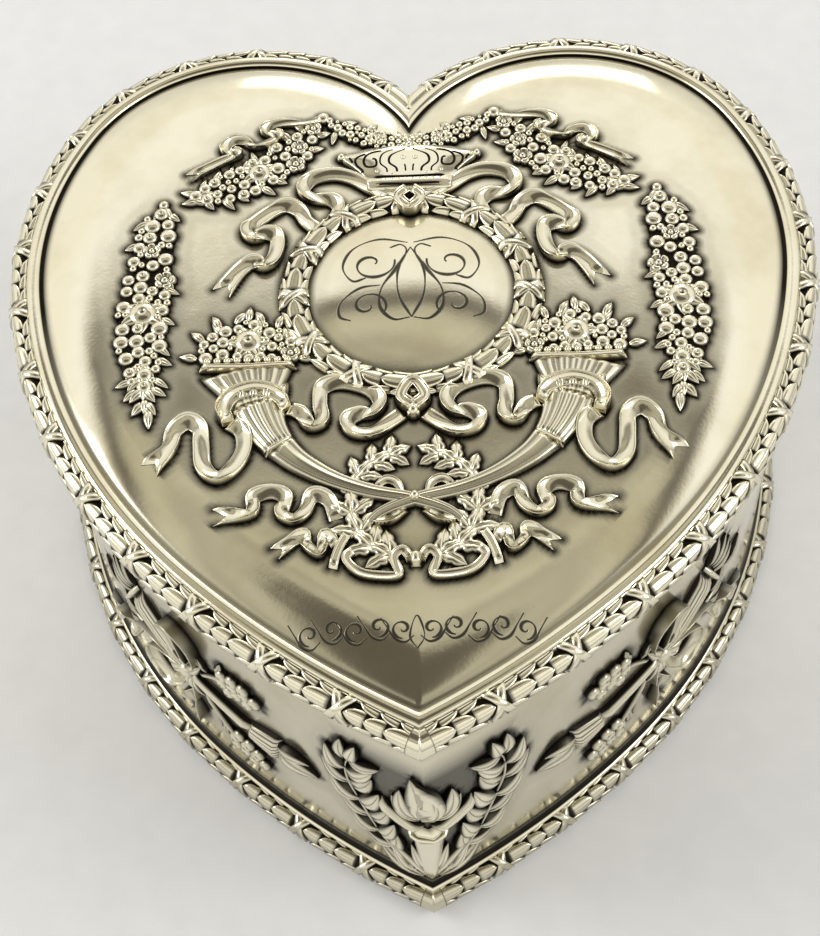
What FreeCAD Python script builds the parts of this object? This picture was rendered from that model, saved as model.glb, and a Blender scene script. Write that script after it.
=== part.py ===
"""A heart-shaped silver trinket box with a hinged lid, in millimetres.

+Z is up, +Y points to the two lobes at the back, and the point of the heart is at -Y. The origin is on
the surface that the box stands on, midway between its front and back.

The outer line of both laurel mouldings is one heart, made on each side of four arcs that run into each
other. Every other piece follows that line at its own offset, negative inwards.
"""

import math
import os

import FreeCAD
import Part

# ---- the heart's outer line, right half
LOBE_X = 28.6              # centre of the lobe's arc
LOBE_R = 37.9
LOBE_TO_FLANK = 28.0       # angles where one arc hands over to the next, from +X
FLANK_R = 65.6
FLANK_TO_SIDE = -9.0
SIDE_R = 102.5
SIDE_TO_POINT = -46.5
POINT_R = 162.0

# ---- sheet and stock
SHEET = 0.8                # silver sheet of the wall and skirt
PLATE = 0.8                # base plate
MOULDING_R = 2.4           # half-round laurel moulding
WALL_IN = -3.2             # outer face of the wall and skirt, and flat back of the mouldings
FIT = 0.25                 # clearance of the lid's skirt round the bezel

# ---- heights
BASE_MOULDING_Z = 2.6      # centre of the base moulding
LID_MOULDING_Z = 64.4      # centre of the lid moulding
SEAM_BELOW = 4.4           # the seam, below the lid moulding's centre
SEAM_Z = LID_MOULDING_Z - SEAM_BELOW
BEZEL_UP = 2.2             # bezel above the seam
BEZEL_DOWN = 3.2           # and below it
BEZEL_THICK = 0.7

# ---- lid panel
HALF_ROUND = math.sqrt(MOULDING_R**2 - (MOULDING_R + WALL_IN)**2)   # a moulding's back edge, from its centre
PANEL_Z = LID_MOULDING_Z + HALF_ROUND                               # top of the panel's flange
PANEL_THICK = 0.7
FLANGE_IN = -6.2
SOFT_IN = -16.2            # where the panel's edge roll ends
SOFT_RISE = 2.0
BEAD_WIDE = 2.3
BEAD_HIGH = 0.7
EDGE_WIRE = 0.9            # wire along the lid's lower edge

# ---- base strip
STRIP_BEAD_R = 0.5
STRIP_COVE_HIGH = 2.7

# ---- the raised work in the middle of the lid
MEDALLION_Y = 10.5
MEDALLION_R = 17.3
MEDALLION_RISE = 1.4
WREATH_R = 19.8
WREATH_WIDE = 2.5          # to each side of its middle
WREATH_HIGH = 1.6

# ---- hinges, one behind each lobe
KNUCKLE_R = 1.25
KNUCKLES = 5
KNUCKLE_LONG = 3.0
KNUCKLE_GAP = 0.16
PIN_R = 0.55
PIN_FIT = 0.04             # round the pin in the lid's knuckles; it is tight in the body's
AXIS_IN = WALL_IN + KNUCKLE_R + 0.25    # the axis, from the outer line
BEARER_R = 1.85
BEARER_CLEAR = 0.2
TRAVEL = 100.0
BODY_STOP = 305.0          # the two bearers meet here at the end of the lid's travel
LID_STOP = BODY_STOP - 360 + TRAVEL + 1.2
HINGE_LONG = KNUCKLES * KNUCKLE_LONG

# ---- lining
CARD = 1.6
LINING_IN = -4.3           # outer edge of the card and the wall lining
LINING_THICK = 1.2
PAD_IN = -5.9
PAD_THICK = 4.0
LID_BOARD = 1.2
LID_BOARD_Z = PANEL_Z - PANEL_THICK - LID_BOARD
LID_PAD_IN = -6.6
LID_PAD_THICK = 2.4

REACH = 200.0              # longer than the box in every direction
UP = FreeCAD.Vector(0, 0, 1)


def direction(angle):
    return FreeCAD.Vector(math.cos(math.radians(angle)), math.sin(math.radians(angle)), 0)


def heart_arcs():
    """The right half's arcs from the point to the cleft: (centre, radius, first angle, last angle)."""
    joins = [LOBE_TO_FLANK, FLANK_TO_SIDE, SIDE_TO_POINT]
    radii = [LOBE_R, FLANK_R, SIDE_R, POINT_R]
    centres = [FreeCAD.Vector(LOBE_X, 0, 0)]
    for join, small, large in zip(joins, radii, radii[1:]):
        centres.append(centres[-1] - direction(join) * (large - small))
    cleft = 180 - math.degrees(math.acos(LOBE_X / LOBE_R))
    point = -math.degrees(math.acos(-centres[-1].x / POINT_R))
    ends = [cleft, *joins, point]
    arcs = [(c, r, ends[i + 1], ends[i]) for i, (c, r) in enumerate(zip(centres, radii))]
    front = centres[-1].y + POINT_R * math.sin(math.radians(point))
    middle = (front + LOBE_R) / 2
    shift = FreeCAD.Vector(0, -middle, 0)
    return [(c + shift, r, a, b) for c, r, a, b in reversed(arcs)]


ARCS = heart_arcs()
LOBE_Y = ARCS[-1][0].y
BACK_Y = LOBE_Y + LOBE_R
AXIS_Y = BACK_Y + AXIS_IN


def right_half(shape):
    return shape.common(Part.makeBox(REACH, 2 * REACH, 2 * REACH, FreeCAD.Vector(0, -REACH, -REACH)))


def mirrored(shape):
    return shape.mirror(FreeCAD.Vector(0, 0, 0), FreeCAD.Vector(1, 0, 0))


def joined(shapes):
    return shapes[0].fuse(shapes[1:]).removeSplitter()


def cleft_corner(offset):
    """Where the line at this offset meets its mirror image between the lobes, and its angle on the lobe."""
    centre, radius = ARCS[-1][0], ARCS[-1][1] + offset
    angle = 180 - math.degrees(math.acos(centre.x / radius))
    return centre + direction(angle) * radius, angle


def half_ring(profile, turn=None):
    """A strip with this profile, bent along the right half and mitred at the point and the cleft.

    The profile is a closed list of (offset, height), or a function that draws the face, given a function
    that turns (offset, height) into a point. A strip that starts at the offset `turn` and lies inside it
    swings round that line's corner at the cleft instead of being mitred there."""
    spread = 25.0
    pieces = []

    def bend(centre, at_zero, side, first, last):
        out = direction(first) * side

        def place(offset, height):
            return centre + out * (at_zero + offset) + UP * height

        face = profile(place) if callable(profile) else polygon_face([place(o, z) for o, z in profile])
        pieces.append(face.revolve(centre, UP, last - first))

    for i, (centre, radius, first, last) in enumerate(ARCS):
        if i == 0:
            first -= spread
        if i == len(ARCS) - 1:
            last = last + spread if turn is None else cleft_corner(turn)[1]
        bend(centre, radius, 1, first, last)
    if turn is not None:
        corner, angle = cleft_corner(turn)
        bend(corner, -turn, -1, angle + 180, 270 - spread)
    return right_half(joined(pieces))


def ring(profile, turn=None):
    half = half_ring(profile, turn)
    return joined([half, mirrored(half)])


def polygon_face(points):
    return Part.Face(Part.makePolygon([*points, points[0]]))


def heart_plate(offset, low, high, turn=None):
    """A flat plate with the heart's outline at an offset, rounded at the cleft as half_ring does."""
    arcs = [(centre, radius + offset, first, last) for centre, radius, first, last in ARCS]
    centre, radius, first, last = arcs[0]
    arcs[0] = centre, radius, -math.degrees(math.acos(-centre.x / radius)), last
    centre, radius, first, last = arcs[-1]
    corner, angle = cleft_corner(offset if turn is None else turn)
    arcs[-1] = centre, radius, first, angle
    if turn is not None:
        arcs.append((corner, turn - offset, angle + 180, 270))
    edges = []
    for centre, radius, first, last in arcs:
        ends = [centre + direction(a) * radius for a in (first, (first + last) / 2, last)]
        edges.append(Part.Arc(*ends).toShape())
    edges += [mirrored(e) for e in edges]
    face = Part.Face(Part.Wire(Part.__sortEdges__(edges)))
    face.translate(UP * low)
    return face.extrude(UP * (high - low))


def half_round(height):
    """The face of a laurel moulding: a round front on a flat back."""
    def draw(place):
        low, high = place(WALL_IN, height - HALF_ROUND), place(WALL_IN, height + HALF_ROUND)
        return Part.Face(Part.Wire([Part.Arc(low, place(0, height), high).toShape(), Part.makeLine(high, low)]))
    return draw


# ---- base

def base_plate():
    return heart_plate(WALL_IN, 0, PLATE)


def body_wall():
    inner = WALL_IN - SHEET
    return ring([(WALL_IN, PLATE), (WALL_IN, SEAM_Z), (inner, SEAM_Z), (inner, PLATE)])


def base_moulding():
    return half_ring(half_round(BASE_MOULDING_Z))


def base_strip():
    """A strip soldered to the wall over the base moulding, with a bead below and a hollow above."""
    foot = BASE_MOULDING_Z + MOULDING_R
    neck = foot + 2 * STRIP_BEAD_R
    high = neck + STRIP_COVE_HIGH
    cove_r = (STRIP_BEAD_R**2 + STRIP_COVE_HIGH**2) / (2 * STRIP_BEAD_R)    # upright where it meets the wall
    half_turn = math.asin(STRIP_COVE_HIGH / cove_r) / 2

    def draw(place):
        corner, start = place(WALL_IN, foot), place(WALL_IN + STRIP_BEAD_R, foot)
        middle, end = place(WALL_IN + 2 * STRIP_BEAD_R, foot + STRIP_BEAD_R), place(WALL_IN + STRIP_BEAD_R, neck)
        hollow = place(WALL_IN + cove_r * (1 - math.cos(half_turn)), high - cove_r * math.sin(half_turn))
        top = place(WALL_IN, high)
        return Part.Face(Part.Wire([
            Part.makeLine(corner, start), Part.Arc(start, middle, end).toShape(),
            Part.Arc(end, hollow, top).toShape(), Part.makeLine(top, corner)]))
    return ring(draw)


def body_bezel():
    """The inner collar that the lid closes over."""
    outer = WALL_IN - SHEET
    inner = outer - FIT - BEZEL_THICK
    low, high = SEAM_Z - BEZEL_DOWN, SEAM_Z + BEZEL_UP
    return ring([(outer, low), (outer, SEAM_Z), (outer - FIT, SEAM_Z), (outer - FIT, high),
                 (inner, high), (inner, low)])


def lining_wall():
    low, high = PLATE + CARD, SEAM_Z - BEZEL_DOWN - 0.2
    return ring([(LINING_IN, low), (LINING_IN, high), (LINING_IN - LINING_THICK, high),
                 (LINING_IN - LINING_THICK, low)])


def lining_floor_board():
    return heart_plate(LINING_IN, PLATE, PLATE + CARD)


def cushion(offset, low, high, up=True):
    """A plain cushion with its edge bevelled on the side that shows."""
    bevel = (high - low) * 0.4
    core = offset - 3 * bevel
    flat, shown = (low, high) if up else (high, low)
    shoulder = shown - bevel if up else shown + bevel
    edge = [(offset, flat), (offset, shoulder), (offset - 2 * bevel, shown), (core, shown), (core, flat)]
    return joined([ring(edge, offset), heart_plate(core, low, high, offset)])


# ---- lid

def lid_skirt():
    inner = WALL_IN - SHEET
    high = PANEL_Z - PANEL_THICK
    return ring([(WALL_IN, SEAM_Z), (WALL_IN, high), (inner, high), (inner, SEAM_Z)])


def lid_moulding():
    return half_ring(half_round(LID_MOULDING_Z))


def lid_panel():
    """The top sheet: a flat flange, a soft roll up to the field, and the medallion in its wreath."""
    field_z = PANEL_Z + SOFT_RISE

    def roll(place):
        edges = []
        feet = [place(FLANGE_IN, PANEL_Z - down) for down in (0, PANEL_THICK)]
        tops = [place(SOFT_IN, field_z - down) for down in (0, PANEL_THICK)]
        for down, foot, top in zip((0, PANEL_THICK), feet, tops):
            waist = place((2 * FLANGE_IN + SOFT_IN) / 3, PANEL_Z + 0.62 * SOFT_RISE - down)
            edges.append(Part.Arc(foot, waist, top).toShape())
        edges += [Part.makeLine(*feet), Part.makeLine(*tops)]
        return Part.Face(Part.Wire(Part.__sortEdges__(edges)))

    low = PANEL_Z - PANEL_THICK
    flange = ring([(WALL_IN, low), (WALL_IN, PANEL_Z), (FLANGE_IN, PANEL_Z), (FLANGE_IN, low)])
    field = heart_plate(SOFT_IN, field_z - PANEL_THICK, field_z, FLANGE_IN)
    sphere_r = (MEDALLION_R**2 + MEDALLION_RISE**2) / (2 * MEDALLION_RISE)
    ball = Part.makeSphere(sphere_r, FreeCAD.Vector(0, MEDALLION_Y, field_z + MEDALLION_RISE - sphere_r))
    slab = Part.makeBox(REACH, REACH, REACH, FreeCAD.Vector(-REACH / 2, -REACH / 2, field_z - PANEL_THICK / 2))
    return joined([flange, ring(roll, FLANGE_IN), field, ball.common(slab), wreath(field_z)])


def wreath(field_z):
    """A round-topped ring about the medallion."""
    inner, outer = WREATH_R - WREATH_WIDE, WREATH_R + WREATH_WIDE
    sunk = -PANEL_THICK / 2
    corners = [FreeCAD.Vector(r, 0, z) for r, z in ((inner, 0), (inner, sunk), (outer, sunk), (outer, 0))]
    face = Part.Face(Part.Wire([
        Part.makePolygon(corners), Part.Arc(corners[3], FreeCAD.Vector(WREATH_R, 0, WREATH_HIGH), corners[0]).toShape()]))
    body = face.revolve(FreeCAD.Vector(0, 0, 0), UP, 360)
    body.translate(FreeCAD.Vector(0, MEDALLION_Y, field_z))
    return body


def lid_bead():
    """A smooth half-round wire on the panel's flange, inside the moulding."""
    outer, inner = WALL_IN - 0.15, WALL_IN - 0.15 - BEAD_WIDE

    def draw(place):
        start, end = place(outer, PANEL_Z), place(inner, PANEL_Z)
        middle = place((outer + inner) / 2, PANEL_Z + BEAD_HIGH)
        return Part.Face(Part.Wire([Part.Arc(start, middle, end).toShape(), Part.makeLine(end, start)]))
    return ring(draw)


def lid_edge_wire():
    """A thin bevelled wire round the foot of the skirt, broken at the two hinges."""
    low, high = SEAM_Z + 0.1, SEAM_Z + 0.1 + EDGE_WIRE
    face, bevel = WALL_IN + EDGE_WIRE / 2, EDGE_WIRE / 4
    wire = ring([(WALL_IN, low), (face, low + bevel), (face, high - bevel), (WALL_IN, high)])
    wide = HINGE_LONG + 2
    for x in (-LOBE_X, LOBE_X):
        wire = wire.cut(Part.makeBox(wide, 10, 10, FreeCAD.Vector(x - wide / 2, AXIS_Y - 5, SEAM_Z - 5)))
    return wire


# ---- hinges

def tube_zone(index):
    """Where one knuckle starts and ends along the axis, from the hinge's middle."""
    start = -HINGE_LONG / 2 + index * KNUCKLE_LONG
    return start, start + KNUCKLE_LONG


def cylinder(radius, start, length):
    return Part.makeCylinder(radius, length, FreeCAD.Vector(start, AXIS_Y, SEAM_Z), FreeCAD.Vector(1, 0, 0))


def knuckles(on_body):
    tubes = []
    for i in range(KNUCKLES):
        if (i % 2 == 0) == on_body:
            start, end = tube_zone(i)
            start, length = start + KNUCKLE_GAP / 2, end - start - KNUCKLE_GAP
            bore = PIN_R if on_body else PIN_R + PIN_FIT
            tubes.append(cylinder(KNUCKLE_R, start, length).cut(cylinder(bore, start - 1, length + 2)))
    return tubes


def sector(radius, first, last, start, length):
    """A pie slice of a cylinder on the hinge's axis. Angles run from +Y towards +Z."""
    corner = FreeCAD.Vector(start, AXIS_Y, SEAM_Z)

    def at(angle, r):
        a = math.radians(angle)
        return corner + FreeCAD.Vector(0, r * math.cos(a), r * math.sin(a))

    arc = Part.Arc(at(first, radius), at((first + last) / 2, radius), at(last, radius)).toShape()
    wire = Part.Wire([Part.makeLine(corner, at(first, radius)), arc, Part.makeLine(at(last, radius), corner)])
    return Part.Face(wire).extrude(FreeCAD.Vector(length, 0, 0))


def bearer(on_body):
    """The seat strip between the knuckles and the wall or skirt. Its lip meets the other strip's when open."""
    first, last = (181.5, BODY_STOP) if on_body else (LID_STOP, 178.5)
    reach_in = 3.2
    gap = 0.06
    low = SEAM_Z - BEARER_R if on_body else SEAM_Z + gap
    corner = FreeCAD.Vector(-HINGE_LONG / 2, AXIS_Y - reach_in, low)
    block = Part.makeBox(HINGE_LONG, reach_in, BEARER_R - gap, corner)
    strip = sector(BEARER_R, first, last, -HINGE_LONG / 2, HINGE_LONG).fuse(block)
    for i in range(KNUCKLES):
        start, end = tube_zone(i)
        own = (i % 2 == 0) == on_body
        strip = strip.cut(cylinder(KNUCKLE_R if own else KNUCKLE_R + BEARER_CLEAR, start, end - start))
    strip.translate(FreeCAD.Vector(LOBE_X, 0, 0))
    strip = strip.cut(heart_plate(WALL_IN, 0, SEAM_Z + SEAM_BELOW))
    return strip.removeSplitter()


def hinge_pin():
    head = 0.4
    length = HINGE_LONG + 0.3
    pin = cylinder(PIN_R, -length / 2, length)
    for start in (-length / 2 - head, length / 2):
        pin = pin.fuse(cylinder(PIN_R + 0.35, start, head))
    return pin.removeSplitter()


def at_lobe(shape, right):
    moved = shape.copy()
    moved.translate(FreeCAD.Vector(LOBE_X, 0, 0))
    return moved if right else mirrored(moved)


def export(name, shape):
    solids = shape.Solids
    if not solids or not all(s.isValid() for s in solids):
        raise SystemExit(f"{name} is not made of valid solids")
    whole = solids[0] if len(solids) == 1 else Part.makeCompound(solids)
    whole.exportStep(f"parts/{name}.step")
    print(f"{name}: {len(solids)} solids, {sum(s.Volume for s in solids):.1f} mm3")


def main():
    os.makedirs("parts", exist_ok=True)
    export("base_plate", base_plate())
    export("body_wall", body_wall())
    moulding = base_moulding()
    export("base_moulding_right", moulding)
    export("base_moulding_left", mirrored(moulding))
    export("base_strip", base_strip())
    export("body_bezel", body_bezel())
    export("lining_wall", lining_wall())
    export("lining_floor_board", lining_floor_board())
    export("lining_floor_pad", cushion(PAD_IN, PLATE + CARD, PLATE + CARD + PAD_THICK))
    export("lid_skirt", lid_skirt())
    moulding = lid_moulding()
    export("lid_moulding_right", moulding)
    export("lid_moulding_left", mirrored(moulding))
    export("lid_panel", lid_panel())
    export("lid_bead_wire", lid_bead())
    export("lid_edge_wire", lid_edge_wire())
    export("lid_lining_board", heart_plate(LINING_IN, LID_BOARD_Z, LID_BOARD_Z + LID_BOARD))
    export("lid_lining_pad", cushion(LID_PAD_IN, LID_BOARD_Z - LID_PAD_THICK, LID_BOARD_Z, up=False))
    for right in (True, False):
        side = "right" if right else "left"
        for on_body in (True, False):
            owner = "body" if on_body else "lid"
            tubes = [at_lobe(t, right) for t in knuckles(on_body)]
            export(f"hinge_{side}_{owner}_knuckles", Part.makeCompound(tubes))
            strip = bearer(on_body)
            export(f"hinge_{side}_{owner}_bearer", strip if right else mirrored(strip))
        export(f"hinge_{side}_pin", at_lobe(hinge_pin(), right))


main()
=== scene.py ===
"""A heart-shaped sterling silver trinket box, made up in the order that a silversmith would make it."""

import random
from math import acos, atan2, copysign, cos, degrees, hypot, pi, radians, sin, sqrt

import bpy
import numpy as np
from mathutils import Matrix, Vector
from mathutils.kdtree import KDTree


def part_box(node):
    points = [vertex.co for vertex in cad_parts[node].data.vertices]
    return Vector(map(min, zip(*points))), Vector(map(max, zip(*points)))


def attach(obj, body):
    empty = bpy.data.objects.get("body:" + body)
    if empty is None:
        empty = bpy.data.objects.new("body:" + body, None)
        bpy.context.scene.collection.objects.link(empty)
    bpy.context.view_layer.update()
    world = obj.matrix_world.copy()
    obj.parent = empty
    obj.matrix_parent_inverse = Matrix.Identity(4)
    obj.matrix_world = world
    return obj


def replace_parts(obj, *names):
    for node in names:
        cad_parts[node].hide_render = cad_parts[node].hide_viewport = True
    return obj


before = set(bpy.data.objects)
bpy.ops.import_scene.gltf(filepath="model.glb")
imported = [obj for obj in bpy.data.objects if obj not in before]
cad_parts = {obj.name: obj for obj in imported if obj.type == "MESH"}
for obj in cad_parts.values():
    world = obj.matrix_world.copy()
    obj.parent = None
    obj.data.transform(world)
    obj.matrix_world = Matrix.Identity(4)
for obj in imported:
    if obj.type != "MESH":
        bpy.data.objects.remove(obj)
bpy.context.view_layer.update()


# ------------------------------------------------------------
# The table, the lamps and the camera.
# A pale paper sweep in a room with bright walls, a dark cornice and a dim ceiling, and three cloth-covered lamps.
# Silver shows nothing but its surroundings, so the room is what gives the lid its light and dark halves.

MM = 0.001
scene = bpy.context.scene
ROOM_LIGHT = 1.12
ROOM_TILT = -0.09       # the bands of tone stand lower on the right of the room
ROOM_DRIFT = 0.10       # and wander up and down by as much as this
TABLE_HEX, TABLE_LOW_HEX = "#EEEFF2", "#EAEBEE"
TABLE_HALF = 3.0        # in metres, like the lamps


def linear(hex_colour):
    """An sRGB hex colour as the linear RGBA that shaders take."""
    channels = [int(hex_colour[i:i + 2], 16) / 255 for i in (1, 3, 5)]
    return [c / 12.92 if c <= 0.04045 else ((c + 0.055) / 1.055) ** 2.4 for c in channels] + [1.0]


def add(tree, kind, settings=None, links=None):
    """One node. Settings are its properties, or sockets by name or number; links are socket: (node, output)."""
    made = tree.nodes.new(kind)
    for key, value in (settings or {}).items():
        if isinstance(key, str) and hasattr(made, key):
            setattr(made, key, value)
        else:
            made.inputs[key].default_value = value
    for key, (source, output) in (links or {}).items():
        tree.links.new(source.outputs[output], made.inputs[key])
    return made


def ramp(made, stops):
    """Sets a colour ramp's stops as (position, colour)."""
    line = made.color_ramp
    while len(line.elements) > 1:
        line.elements.remove(line.elements[-1])
    line.elements[0].position, line.elements[0].color = stops[0]
    for position, colour in stops[1:]:
        line.elements.new(position).color = colour


def fresh(name):
    """A new material, still without nodes, and its node tree."""
    made = bpy.data.materials.new(name)
    made.use_nodes = True
    made.node_tree.nodes.clear()
    return made, made.node_tree


room = bpy.data.worlds.new("room")
room.use_nodes = True
room.node_tree.nodes.clear()
facing = add(room.node_tree, "ShaderNodeTexCoord")
height = add(room.node_tree, "ShaderNodeSeparateXYZ", links={"Vector": (facing, "Generated")})
drift = add(room.node_tree, "ShaderNodeTexNoise", {"Scale": 2.6, "Detail": 3.0}, {"Vector": (facing, "Generated")})
tilted = add(room.node_tree, "ShaderNodeMath", {"operation": "MULTIPLY_ADD", 1: ROOM_TILT},
             {0: (height, "X"), 2: (height, "Z")})
level = add(room.node_tree, "ShaderNodeMath", {"operation": "MULTIPLY_ADD", 1: ROOM_DRIFT},
            {0: (drift, "Fac"), 2: (tilted, "Value")})
walls = add(room.node_tree, "ShaderNodeValToRGB", links={"Fac": (level, "Value")})
# From the table's level up to overhead: bright walls, a dark cornice, and a dim ceiling with a darker middle.
ramp(walls, [(stop, linear(tone)) for stop, tone in (
    (0.00, "#A9A8A3"), (0.25, "#DDDCD8"), (0.45, "#F4F2EB"), (0.700, "#F6F3EA"), (0.800, "#FFFFFF"),
    (0.816, "#D0CABB"), (0.838, "#4C4642"), (0.856, "#544E49"), (0.882, "#BEBAAA"), (0.920, "#C8C4B3"),
    (0.952, "#A8A395"), (0.984, "#BEBAAA"), (1.00, "#5E5850"))])
glow = add(room.node_tree, "ShaderNodeBackground", {"Strength": ROOM_LIGHT}, {"Color": (walls, "Color")})
add(room.node_tree, "ShaderNodeOutputWorld", links={"Surface": (glow, "Background")})
scene.world = room


def lamp(name, place, wide, high, watts, hex_colour, aim=(0, 0, 0.03)):
    """A soft box: a rectangular cloth-fronted lamp facing the middle of the box, in metres."""
    light = bpy.data.lights.new(name, "AREA")
    light.shape, light.size, light.size_y = "RECTANGLE", wide, high
    light.energy, light.color = watts, linear(hex_colour)[:3]
    stand = bpy.data.objects.new(name, light)
    stand.location = place
    stand.rotation_euler = (Vector(aim) - Vector(place)).to_track_quat("-Z", "Y").to_euler()
    scene.collection.objects.link(stand)


lamp("soft_box_left", (-1.15, 0.10, 0.75), 0.7, 0.7, 5.0, "#FFFFFF")
lamp("soft_box_right", (1.15, -0.30, 0.80), 0.6, 0.6, 4.0, "#FFFFFF")
lamp("soft_box_back", (0.10, 1.45, 0.62), 0.6, 0.3, 2.0, "#FFF9EA")

table_mesh = bpy.data.meshes.new("paper_sweep")
table_mesh.from_pydata([(x * TABLE_HALF, y * TABLE_HALF, 0) for x, y in ((-1, -1), (1, -1), (1, 1), (-1, 1))],
                       [], [(0, 1, 2, 3)])
table = bpy.data.objects.new("paper_sweep", table_mesh)
table.location.z = -0.1 * MM         # just clear of the box's foot
scene.collection.objects.link(table)
paper, sheet_tree = fresh("matt_white_paper")
paper_grain = add(sheet_tree, "ShaderNodeTexNoise", {"Scale": 900.0, "Detail": 3.0})
paper_tone = add(sheet_tree, "ShaderNodeValToRGB", links={"Fac": (paper_grain, "Fac")})
ramp(paper_tone, [(0.3, linear(TABLE_LOW_HEX)), (0.7, linear(TABLE_HEX))])
paper_face = add(sheet_tree, "ShaderNodeBsdfPrincipled", {"Roughness": 0.9, "Specular IOR Level": 0.1},
                 {"Base Color": (paper_tone, "Color")})
add(sheet_tree, "ShaderNodeOutputMaterial", links={"Surface": (paper_face, "BSDF")})
table_mesh.materials.append(paper)

# The camera stands above the point of the heart, a little to the right, turned slightly.
CAMERA_AIM = Vector((0.4, 1.0, 30.0)) * MM
CAMERA_AWAY = 329 * MM
CAMERA_AZIMUTH, CAMERA_ELEVATION, CAMERA_ROLL = (radians(a) for a in (2.1, 55.9, -3.7))
CAMERA_LENS = 69.2
CAMERA_SHIFT = (-0.014, -0.002)
away = Vector((sin(CAMERA_AZIMUTH) * cos(CAMERA_ELEVATION),
               -cos(CAMERA_AZIMUTH) * cos(CAMERA_ELEVATION), sin(CAMERA_ELEVATION)))
level_right = (-away).cross(Vector((0, 0, 1))).normalized()
level_up = level_right.cross(-away)
right = level_right * cos(CAMERA_ROLL) + level_up * sin(CAMERA_ROLL)
up = level_up * cos(CAMERA_ROLL) - level_right * sin(CAMERA_ROLL)
lens = bpy.data.cameras.new("camera")
lens.lens = CAMERA_LENS
lens.shift_x, lens.shift_y = CAMERA_SHIFT
lens.clip_start, lens.clip_end = 0.01, 20
camera = bpy.data.objects.new("camera", lens)
camera.matrix_world = Matrix.Translation(CAMERA_AIM + away * CAMERA_AWAY) @ \
    Matrix((right, up, away)).transposed().to_4x4()
scene.collection.objects.link(camera)
scene.camera = camera
scene.view_settings.view_transform = "Standard"


# ------------------------------------------------------------
# The pattern of the heart.
# Every strip and sheet of the box follows one heart line, cut from brass for the maker's templates.
# Each half is four arcs that run into each other, and the right half is the left one turned over.

LOBE_X = 28.6
ARC_RADII = (37.9, 65.6, 102.5, 162.0)
ARC_TURNS = (28.0, -9.0, -46.5)     # where each arc runs into the next, in degrees
PANEL_BACK = -3.2                   # the sheets' edge and the wall stand this far inside the mouldings


def heart_arcs():
    """The right half's arcs from the point to the cleft, as (centre x, centre y, radius, first, last), in mm."""
    centres = [(LOBE_X, 0.0)]
    for turn, small, large in zip(ARC_TURNS, ARC_RADII, ARC_RADII[1:]):
        a = radians(turn)
        x, y = centres[-1]
        centres.append((x - (large - small) * cos(a), y - (large - small) * sin(a)))
    turns = [radians(t) for t in ARC_TURNS]
    cleft = pi - acos(LOBE_X / ARC_RADII[0])
    point = -acos(-centres[-1][0] / ARC_RADII[-1])
    ends = [cleft, *turns, point]
    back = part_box("lid_moulding_right")[1][1] / MM
    lift = back - ARC_RADII[0]
    arcs = [(x, y + lift, r, ends[i + 1], ends[i]) for i, ((x, y), r) in enumerate(zip(centres, ARC_RADII))]
    return arcs[::-1]


ARCS = heart_arcs()
ARC_LENGTHS = [radius * (last - first) for _, _, radius, first, last in ARCS]
HALF_LINE = sum(ARC_LENGTHS)


def part(t):
    """Keeps a share between none and all."""
    return max(0.0, min(1.0, t))


def on_line(along, offset):
    """The place at a distance along the outer line from the point, at an offset outwards.

    Distances are positive on the right half and negative on the left half."""
    left = abs(along)
    for i, ((x, y, radius, first, last), length) in enumerate(zip(ARCS, ARC_LENGTHS)):
        if left <= length or i == len(ARCS) - 1:
            a = first + left / radius
            break
        left -= length
    side = 1 if along >= 0 else -1
    return side * (x + (radius + offset) * cos(a)), y + (radius + offset) * sin(a)


# ------------------------------------------------------------
# Sterling silver.
# All the metal is sterling sheet, chased by hand, dipped in liver of sulphur so that it turns brown-black,
# and polished back. It is cream where the buff reached, and dark in every recess that it missed.

SILVER_HEX = "#F0EAD3"
FILM_HEX = "#CFC5A3"
OXIDE_HEX = "#231F1A"
PLANISH_MM = 11.0       # width of the soft hollows that planishing leaves
CLOUD_MM = 16.0         # width of a patch of thin tarnish
SCRATCH_MM = 0.6        # drawn coarser than real buffing lines, which are too fine to show
SCRATCH_DEEP = 0.004
OXIDE_ROUGH = 0.30      # how much rougher the oxide is than the polish


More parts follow.
